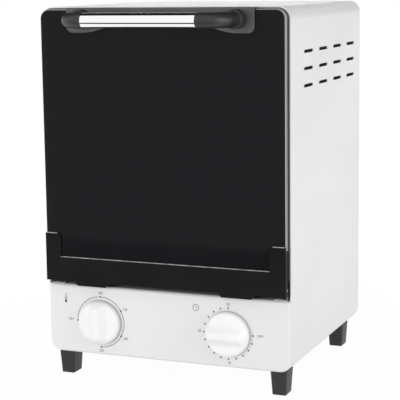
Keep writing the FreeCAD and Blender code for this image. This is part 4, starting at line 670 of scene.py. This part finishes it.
def screw(centre, axis, head, rise, shank, length):
    """Pan head with a cross recess over a threaded shank, as rings round the axis.

    The head's height is a dome less the cross's depth. The shank's radius is a cosine of the height in
    pitches less the turn, so that the thread climbs round it.
    """
    axis = np.array(axis, float)
    across = np.array([0, 0, 1.0]) if abs(axis[2]) < 0.5 else np.array([1.0, 0, 0])
    other = np.cross(axis, across)
    turn = np.arange(SCREW_COLUMNS) * TURN / SCREW_COLUMNS
    ones = np.ones((1, SCREW_COLUMNS))
    radii = np.linspace(0.04, 0.9, 18)[:, None] * head
    flat_x = np.abs(radii * np.cos(turn))
    flat_z = np.abs(radii * np.sin(turn))
    arm = 1 - smooth(CROSS_ARM[0] * head, CROSS_ARM[1] * head, np.minimum(flat_x, flat_z))
    reach = 1 - smooth(CROSS_REACH[0] * head, CROSS_REACH[1] * head, np.maximum(flat_x, flat_z))
    dome = rise * (1 - DOME_FALL * (radii / head) ** 2) - CROSS_DEPTH * rise * arm * reach
    edge_radii = head * np.array([[0.965], [0.995], [1.0], [1.0]])
    edge = rise * np.array([[0.72], [0.6], [0.45], [0.0]])
    threads = np.arange(0, length - 0.4, THREAD_PITCH / 4)[:, None]
    wave = shank - THREAD_DEPTH * THREAD_PITCH * (1 - np.cos(TURN * threads / THREAD_PITCH - turn))
    spread = np.vstack([radii * ones, edge_radii * ones, wave, 0.6 * shank * ones])
    height = np.vstack([dome, edge * ones, -threads * ones, -length * ones])
    grid = (np.array(centre, float) + height[..., None] * axis
            + (spread * np.cos(turn))[..., None] * across + (spread * np.sin(turn))[..., None] * other)
    return skin(grid)


BACK_INSET = 7.0
BACK_SIDE_RISE = 70.0
TIMER_SCREW_OFFSET = 14.0
FOOT_SCREW_SEAT = 17.0
FEET = ("foot_front_left", "foot_front_right", "foot_rear_left", "foot_rear_right")
casing_low, casing_high = box_of("outer_wrap")
side_x = casing_high[0] - BACK_INSET
end_x = casing_high[0] / 2
side_rows = (casing_high[2] - BACK_SIDE_RISE, casing_low[2] + BACK_SIDE_RISE)
end_rows = (casing_high[2] - BACK_INSET, casing_low[2] + BACK_INSET)
back_sides = [(x, BACK_Y, z) for z in side_rows for x in (-side_x, side_x)]
back_ends = [(x, BACK_Y, z) for z in end_rows for x in (-end_x, end_x)]
beside_timer = [(CLOCK_DIAL[0], PANEL_Y, CLOCK_DIAL[2] + offset)
                for offset in (-TIMER_SCREW_OFFSET, TIMER_SCREW_OFFSET)]
in_feet = [(*middle_of(node)[:2], FOOT_SCREW_SEAT) for node in FEET]
PANEL_SCREW = (3.2, 2.0, 1.5, 6.0)
FOOT_SCREW = (4.0, 2.0, 2.0, 12.0)
SCREW_ROWS = (
    # node, where the heads sit, direction of the head; then head radius and height, shank radius and length
    ("back_screws", back_sides + back_ends, (0, 1, 0), PANEL_SCREW),
    ("timer_screws", beside_timer, (0, -1, 0), PANEL_SCREW),
    ("foot_screws", in_feet, (0, 0, -1), FOOT_SCREW),
)
for node, places, axis, sizes in SCREW_ROWS:
    piece(node + "_cross_head", [screw(place, axis, *sizes) for place in places], "bright_steel", "casing",
          (node,), sharp=50)

# Feet

WELL_RADIUS = 4.4
WELL_TOP = FOOT_SCREW_SEAT - 0.1


def foot_surface(low, high):
    """Rounded rectangles stacked from a screw well, out under the sole and up the tapered sides."""
    middle = (low + high) / 2
    half = (high - low) / 2
    top = high[2]
    rows = (
        # height, half width, half depth, corner radius
        (WELL_TOP, WELL_RADIUS, WELL_RADIUS, WELL_RADIUS),
        (0.8, WELL_RADIUS, WELL_RADIUS, WELL_RADIUS),
        (0.1, WELL_RADIUS + 0.5, WELL_RADIUS + 0.5, WELL_RADIUS + 0.5),
        (0.0, WELL_RADIUS + 1.0, WELL_RADIUS + 1.2, 4.0),
        (0.0, half[0] - 2.1, half[1] - 2.1, 1.0),
        (0.25, half[0] - 1.65, half[1] - 1.65, 1.2),
        (0.9, half[0] - 1.42, half[1] - 1.42, 1.5),
        (4.0, half[0] - 1.25, half[1] - 1.25, 1.6),
        (12.0, half[0] - 0.78, half[1] - 0.78, 1.6),
        (top - 1.0, half[0] - 0.05, half[1] - 0.05, 1.6),
        (top - 0.4, half[0], half[1], 1.6),
        (top, half[0] - 0.3, half[1] - 0.3, 1.4),
    )
    grid = [np.column_stack([rounded(half_x, half_y, corner) + middle[:2], np.full(32, height)])
            for height, half_x, half_y, corner in rows]
    return skin(np.array(grid))


for node in FEET:
    piece(node + "_moulding", [foot_surface(*box_of(node))], "black_plastic", "casing", (node,))

# Rack

RACK_WIRE = 2.5
RACK_CORNER = 14.0
CROSS_WIRE = 1.5
CROSS_COUNT = 9
CROSS_SPREAD = 90.0


def rack_shells():
    """Closed frame of thick wire, nine wires laid on it from front to back and one across below them."""
    low, high = box_of("wire_rack")
    side = high[0] - RACK_WIRE
    front, rear = low[1] + RACK_WIRE, high[1] - RACK_WIRE
    frame_z = low[2] + RACK_WIRE
    corners = [(0, front, frame_z), (side, front, frame_z), (side, rear, frame_z), (-side, rear, frame_z),
               (-side, front, frame_z), (0, front, frame_z)]
    path = bent(corners, (RACK_CORNER,) * 4, step=12, bend_steps=10)[:-1]
    shells = [skin(carried(path, circle(RACK_WIRE, 20), (0, 0, 1.0), loop=True), loop=True)]
    upper_z = frame_z + RACK_WIRE - CROSS_WIRE / 2
    lower_z = frame_z - CROSS_WIRE / 2
    middle = (front + rear) / 2
    for x in np.linspace(-CROSS_SPREAD, CROSS_SPREAD, CROSS_COUNT):
        shells.append(wire((x, front, upper_z), (x, rear, upper_z), CROSS_WIRE))
    shells.append(wire((-side, middle, lower_z), (side, middle, lower_z), CROSS_WIRE))
    return shells


piece("rack_wirework", rack_shells(), "rack_plate", "rack", ("wire_rack",), sharp=60)

# Door springs

SPRING_WIRE = 0.6
SPRING_HOOK = 8.0
SPRING_TURNS = 37
TURN_STEPS = 18
# A direction that no stretch of the spring's wire follows
ASKEW = (0.31, 0.12, 0.94)


def spring_surface(low, high):
    """Round wire carried along a helix, which shrinks to a straight hook on the axis at each end."""
    middle = (low + high) / 2
    reach = high[0] - middle[0] - SPRING_WIRE
    start, end = low[1] + SPRING_HOOK, high[1] - SPRING_HOOK
    share = np.linspace(0, 1, SPRING_TURNS * TURN_STEPS + 1)
    half_turn = 0.5 / SPRING_TURNS
    radius = reach * smooth(0, half_turn, share) * smooth(0, half_turn, 1 - share)
    turn = share * SPRING_TURNS * TURN
    coil = np.column_stack([middle[0] + radius * np.cos(turn), start + (end - start) * share,
                            middle[2] + radius * np.sin(turn)])
    path = np.vstack([[middle[0], low[1], middle[2]], coil, [middle[0], high[1], middle[2]]])
    tangent = np.gradient(path, axis=0)
    tangent /= np.linalg.norm(tangent, axis=1, keepdims=True)
    lean = np.cross(tangent, ASKEW)
    lean /= np.linalg.norm(lean, axis=1, keepdims=True)
    other = np.cross(tangent, lean)
    ring = circle(SPRING_WIRE, 8)
    return skin(path[:, None] + ring[None, :, :1] * lean[:, None] + ring[None, :, 1:] * other[:, None])


for node in ("door_spring_left", "door_spring_right"):
    piece(node + "_coil", [spring_surface(*box_of(node))], "bright_steel", "casing", (node,), sharp=60)

# Cord gland, its heights measured back from its outer face

GLAND_BORE = 4.0
GLAND_COLLAR = 8.9
GLAND_NECK = 7.9
GLAND_FLANGE = 11.0
GLAND_FACE = 8.0
GLAND_LENGTH = 11.0
PANEL_INNER = 6.0
PANEL_OUTER = 5.0
GLAND_BEVEL = 2.6
FLUTE_COUNT = 24
FLUTE_DEPTH = 0.3
FLUTE_START = (-5.2, -4.6)
FLUTE_END = (-2.9, -2.0)


def flutes(turn, height):
    """Shallow grips round the flange: a cosine of the turn, faded out towards both faces by smooth steps."""
    share = smooth(*FLUTE_START, height) * (1 - smooth(*FLUTE_END, height))
    return -FLUTE_DEPTH * share * (0.5 + 0.5 * np.cos(FLUTE_COUNT * turn))


def gland_surface():
    """Gland turned round its bore: inner collar, neck in the panel's hole, fluted flange, and the bore."""
    middle = middle_of("cord_gland")
    outer = bent([(GLAND_BORE, -GLAND_LENGTH), (GLAND_COLLAR, -GLAND_LENGTH), (GLAND_COLLAR, -PANEL_INNER),
                  (GLAND_NECK, -PANEL_INNER), (GLAND_NECK, -PANEL_OUTER), (GLAND_FLANGE, -PANEL_OUTER),
                  (GLAND_FLANGE, -GLAND_BEVEL), (GLAND_FACE, 0.0), (GLAND_BORE, 0.0)],
                 (0.5, 0.2, 0.2, 0.1, 0.5, 0.8, 0.6), step=1.2, bend_steps=4)
    bore = bent([(GLAND_BORE, 0.0), (GLAND_BORE, -GLAND_LENGTH)], (), step=4)
    profile = np.vstack([outer, bore[1:-1]])
    face = (middle[0], BACK_Y + PANEL_OUTER, middle[2])
    return skin(turned(profile, face, (0, 1, 0), 96, flutes), loop=True)


piece("cord_gland_moulding", [gland_surface()], "black_plastic", "casing", ("cord_gland",))

# Dial scales, printed on the control panel

INK_RISE = 0.05
INK_Y = PANEL_Y - INK_RISE / 2
FIGURE_SIZE = 3.9
FIGURE_SQUEEZE = 0.9


def dot(x, z, radius):
    """A thin disc on the panel."""
    return skin(turned([(radius, -INK_RISE / 2), (radius, INK_RISE / 2)], (x, INK_Y, z), (0, 1, 0), 20))


def ribbon(width):
    """Section of a printed line: its width across the panel and the ink's rise."""
    half = width / 2
    rise = INK_RISE / 2
    return np.array([(-half, -rise), (half, -rise), (half, rise), (-half, rise)])


def line(points, width):
    """A flat ribbon of ink along points (x, z) in the panel's plane."""
    points = np.array(points, float)
    path = np.column_stack([points[:, 0], np.full(len(points), INK_Y), points[:, 1]])
    return skin(carried(path, ribbon(width), (0, 1.0, 0)))


def arc(x, z, radius, start, end, width):
    """A ribbon along part of a circle, angles in degrees from the right, turning left."""
    turn = np.radians(np.linspace(start, end, max(3, int(abs(end - start) / 4))))
    return line(np.column_stack([x + radius * np.cos(turn), z + radius * np.sin(turn)]), width)


def ring_mark(x, z, radius, width):
    """A closed ring of ink."""
    turn = np.arange(48) * TURN / 48
    path = np.column_stack([x + radius * np.cos(turn), np.full(48, INK_Y), z + radius * np.sin(turn)])
    return skin(carried(path, ribbon(width), (0, 1.0, 0), loop=True), loop=True)


def figures(text, x, z):
    """Numbers or OFF set in Blender's own plain face, made a mesh and stood up on the panel."""
    curve = bpy.data.curves.new("figures", "FONT")
    curve.body = text
    curve.size = FIGURE_SIZE
    curve.align_x = "CENTER"
    curve.align_y = "CENTER"
    curve.extrude = INK_RISE / 2
    curve.resolution_u = 3
    holder = bpy.data.objects.new("figures", curve)
    bpy.context.scene.collection.objects.link(holder)
    evaluated = holder.evaluated_get(bpy.context.evaluated_depsgraph_get())
    shape = bpy.data.meshes.new_from_object(evaluated)
    points = np.empty(len(shape.vertices) * 3)
    shape.vertices.foreach_get("co", points)
    points = points.reshape(-1, 3)
    faces = [list(polygon.vertices) for polygon in shape.polygons]
    bpy.data.objects.remove(holder)
    bpy.data.curves.remove(curve)
    bpy.data.meshes.remove(shape)
    across = points[:, 0] * FIGURE_SQUEEZE
    return np.column_stack([x + across, INK_Y - points[:, 2], z + points[:, 1]]), faces


def round_from(x, z, radius, degrees):
    """Place on a circle round (x, z), its angle in degrees from the right, turning left."""
    turn = math.radians(degrees)
    return x + radius * math.cos(turn), z + radius * math.sin(turn)


HEAT_RADIUS = 26.0
HEAT_LINE = 0.55
HEAT_DOT = 0.95
HEAT_ARCS = ((175, 95), (86, -88))
HEAT_STOPS = (180, 90, 30, -30, -90)
HEAT_FIGURES = (
    ("OFF", -33.6, 0.4),
    ("100", 0, 29.6),
    ("150", 27.4, 15.0),
    ("200", 27.4, -15.2),
    ("250", 0, -29.8),
)
heat_x, _, heat_z = HEAT_DIAL
heat_marks = [arc(heat_x, heat_z, HEAT_RADIUS, start, end, HEAT_LINE) for start, end in HEAT_ARCS]
heat_marks += [dot(*round_from(heat_x, heat_z, HEAT_RADIUS, degrees), HEAT_DOT) for degrees in HEAT_STOPS]
heat_marks += [figures(text, heat_x + x, heat_z + z) for text, x, z in HEAT_FIGURES]
piece("temperature_scale", heat_marks, "dark_enamel", "casing", material=INK)

TIMER_RADIUS = 25.65
TIMER_DOT = 0.85
TIMER_DOTS = 16
TIMER_STEP = 18
TIMER_FIGURES = (("OFF", 32.9, 0), ("10", 0.6, -29.4), ("20", -30.2, 0.4), ("30", 0, 29.2))
clock_x, _, clock_z = CLOCK_DIAL
timer_marks = [dot(*round_from(clock_x, clock_z, TIMER_RADIUS, -TIMER_STEP * count), TIMER_DOT)
               for count in range(TIMER_DOTS)]
timer_marks += [figures(text, clock_x + x, clock_z + z) for text, x, z in TIMER_FIGURES]
piece("timer_scale", timer_marks, "dark_enamel", "casing", material=INK)

# Thermometer sign: bulb, glass stem with its column, and four graduations beside it

BULB_X, BULB_Z = PANEL_LOW[0] + 19.0, PANEL_HIGH[2] - 18.0
BULB_RADIUS = 1.35
STEM_RISE = 4.2
STEM_HALF = (0.8, 4.0)
STEM_CORNER = 0.79
COLUMN_RISE = 4.5
GRADUATIONS = 4
GRADUATION_RISE = 3.0
GRADUATION_STEP = 1.3
GRADUATION_REACH = (1.5, 2.4)
stem = rounded(*STEM_HALF, STEM_CORNER, 6) + (BULB_X, BULB_Z + STEM_RISE)
gauge_marks = [dot(BULB_X, BULB_Z, BULB_RADIUS), line(np.vstack([stem, stem[:1]]), 0.3),
               line([(BULB_X, BULB_Z), (BULB_X, BULB_Z + COLUMN_RISE)], 0.5)]
for count in range(GRADUATIONS):
    mark_z = BULB_Z + GRADUATION_RISE + GRADUATION_STEP * count
    gauge_marks.append(line([(BULB_X + reach, mark_z) for reach in GRADUATION_REACH], 0.25))
piece("thermometer_mark", gauge_marks, "dark_enamel", "casing", material=INK)

# Clock sign: a ring with twelve rays and two hands

FACE_X, FACE_Z = PANEL_HIGH[0] - 98.0, PANEL_HIGH[2] - 13.3
FACE_RADIUS = 2.9
FACE_LINE = 0.4
HAND_LINE = 0.35
LONG_HAND = 1.9
SHORT_HAND = 1.4
RAY_REACH = (3.2, 3.9)
face_marks = [ring_mark(FACE_X, FACE_Z, FACE_RADIUS, FACE_LINE),
              line([(FACE_X, FACE_Z), (FACE_X, FACE_Z + LONG_HAND)], HAND_LINE),
              line([(FACE_X, FACE_Z), (FACE_X + SHORT_HAND, FACE_Z)], HAND_LINE)]
for degrees in range(0, 360, 30):
    ray = [round_from(FACE_X, FACE_Z, radius, degrees) for radius in RAY_REACH]
    face_marks.append(line(ray, FACE_LINE))
piece("clock_mark", face_marks, "dark_enamel", "casing", material=INK)

# Camera, fitted to the photograph: its place in metres, its turn in degrees, its lens in image widths

IMAGE_SIDE = 400
SENSOR = 36.0
FOCAL_LENGTH = 1373.576
CENTRE_COLUMN, CENTRE_ROW = 189.785, 197.125
CAMERA_PLACE = (0.533214, -1.304488, 0.404488)
CAMERA_TURN = (22.651, 9.185, -0.795)

camera_data = bpy.data.cameras.new("camera")
camera_data.sensor_width = SENSOR
camera_data.lens = FOCAL_LENGTH / IMAGE_SIDE * SENSOR
camera_data.shift_x = (IMAGE_SIDE / 2 - CENTRE_COLUMN) / IMAGE_SIDE
camera_data.shift_y = (CENTRE_ROW - IMAGE_SIDE / 2) / IMAGE_SIDE
camera_data.clip_start = 0.05
camera_data.clip_end = 50.0
camera = bpy.data.objects.new("camera", camera_data)
bpy.context.scene.collection.objects.link(camera)
azimuth, elevation, roll = (math.radians(value) for value in CAMERA_TURN)
forward = Vector((-math.sin(azimuth) * math.cos(elevation), math.cos(azimuth) * math.cos(elevation),
                  -math.sin(elevation)))
right = Vector((math.cos(azimuth), math.sin(azimuth), 0))
upward = right.cross(forward)
right_rolled = right * math.cos(roll) + upward * math.sin(roll)
up_rolled = upward * math.cos(roll) - right * math.sin(roll)
facing = Matrix((right_rolled, up_rolled, -forward)).transposed()
camera.matrix_world = Matrix.Translation(CAMERA_PLACE) @ facing.to_4x4()
bpy.context.scene.camera = camera

# Studio: pale floor, white surroundings that throw more light from overhead, soft lamps


def seen_directly(tree):
    """One for camera, glossy and transmission rays, else zero."""
    rays = add(tree, "LightPath").outputs
    mirror = add(tree, "Math", {"operation": "MAXIMUM"},
                 {0: rays["Is Glossy Ray"], 1: rays["Is Transmission Ray"]}).outputs[0]
    return add(tree, "Math", {"operation": "MAXIMUM"}, {0: rays["Is Camera Ray"], 1: mirror}).outputs[0]


def backdrop_material():
    """Pale paper that keeps a soft shadow near the object and is white further out."""
    material = bpy.data.materials.new("pale_paper")
    material.use_nodes = True
    tree = material.node_tree
    tree.nodes.clear()
    paper = add(tree, "BsdfDiffuse", None, {"Color": colour("f2f2f2")})
    glow = add(tree, "Emission", None, {"Color": (1, 1, 1, 1), "Strength": 1.0})
    place = add(tree, "TexCoord")
    reach = add(tree, "VectorMath", {"operation": "LENGTH"}, {0: place.outputs["Object"]})
    fade = add(tree, "MapRange", {"interpolation_type": "SMOOTHSTEP"},
               {"Value": reach.outputs["Value"], "From Min": 0.15, "From Max": 0.6,
                "To Min": 0.97, "To Max": 1.0})
    share = add(tree, "Math", {"operation": "MULTIPLY"}, {0: fade.outputs["Result"], 1: seen_directly(tree)})
    both = add(tree, "MixShader", None, {0: share.outputs[0], 1: paper.outputs[0], 2: glow.outputs[0]})
    add(tree, "OutputMaterial", None, {"Surface": both.outputs[0]})
    return material


def stage_surface(name, points, material):
    """One four-cornered sheet of the studio, which isn't part of the object."""
    mesh = bpy.data.meshes.new(name)
    mesh.from_pydata(points, [], [(0, 1, 2, 3)])
    mesh.materials.append(material)
    made = bpy.data.objects.new(name, mesh)
    bpy.context.scene.collection.objects.link(made)
    made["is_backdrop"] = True
    return made


FLOOR_REACH = 4.0
FLOOR_Z = -0.0002
floor_corners = [(x * FLOOR_REACH, y * FLOOR_REACH, FLOOR_Z) for x, y in ((-1, -1), (1, -1), (1, 1), (-1, 1))]
stage_surface("floor", floor_corners, backdrop_material())

# Dark cards that only reflections see, low in front, overhead and behind: they give the chrome its dark bands
# and take the glare off the casing's top

card_material = bpy.data.materials.new("black_card")
card_material.use_nodes = True
card_shader = card_material.node_tree.nodes["Principled BSDF"]
card_shader.inputs["Base Color"].default_value = colour("1a1a1a")
card_shader.inputs["Specular IOR Level"].default_value = 0.0
CARD_REACH = 3.0
CARDS = (
    # name, near edge and far edge in y and z, metres
    ("low_black_card", (-0.47, 0.002), (-0.76, 0.002)),
    ("overhead_black_card", (-0.27, 1.4), (2.4, 1.0)),
    ("rear_black_card", (2.4, 1.0), (2.5, 0.36)),
)
for name, near, far in CARDS:
    corners = [(-CARD_REACH, *near), (CARD_REACH, *near), (CARD_REACH, *far), (-CARD_REACH, *far)]
    card = stage_surface(name, corners, card_material)
    for ray in ("camera", "diffuse", "transmission", "volume_scatter", "shadow"):
        setattr(card, "visible_" + ray, False)

AIM = Vector((0, 0, 0.2))
LAMPS = (
    # name, place, width and height in metres, power in watts, whether glass and chrome mirror it
    ("front_left_softbox", (-0.9, -2.4, 0.5), 1.6, 0.7, 26, False),
    ("right_softbox", (2.2, -0.4, 0.45), 1.2, 0.7, 15, True),
    ("rear_softbox", (-0.6, 2.2, 0.5), 1.4, 0.7, 10, True),
)
for name, place, width, height, power, mirrored in LAMPS:
    data = bpy.data.lights.new(name, "AREA")
    data.shape = "RECTANGLE"
    data.size = width
    data.size_y = height
    data.energy = power
    lamp = bpy.data.objects.new(name, data)
    bpy.context.scene.collection.objects.link(lamp)
    lamp.visible_glossy = mirrored
    aimed = (Vector(place) - AIM).to_track_quat("Z", "Y").to_matrix().to_4x4()
    lamp.matrix_world = Matrix.Translation(place) @ aimed

world = bpy.data.worlds.new("studio")
bpy.context.scene.world = world
world.use_nodes = True
sky = world.node_tree
sky.nodes.clear()
heading = add(sky, "SeparateXYZ", None, {"Vector": add(sky, "TexCoord").outputs["Generated"]}).outputs["Z"]
level = add(sky, "MapRange", {"clamp": True},
            {"Value": heading, "From Min": 0.25, "From Max": 0.9, "To Min": 0.54, "To Max": 0.86})
soft = add(sky, "Background", None, {"Color": colour("f4f6f8"), "Strength": level.outputs["Result"]})
white = add(sky, "Background", None, {"Color": (1, 1, 1, 1), "Strength": 1.0})
both = add(sky, "MixShader", None, {0: seen_directly(sky), 1: soft.outputs[0], 2: white.outputs[0]})
add(sky, "OutputWorld", None, {"Surface": both.outputs[0]})

bpy.context.scene.view_settings.view_transform = "Standard"

dressed_low, dressed_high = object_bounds()
sizes = {"cad": [list(cad_low), list(cad_high)], "dressed": [list(dressed_low), list(dressed_high)]}
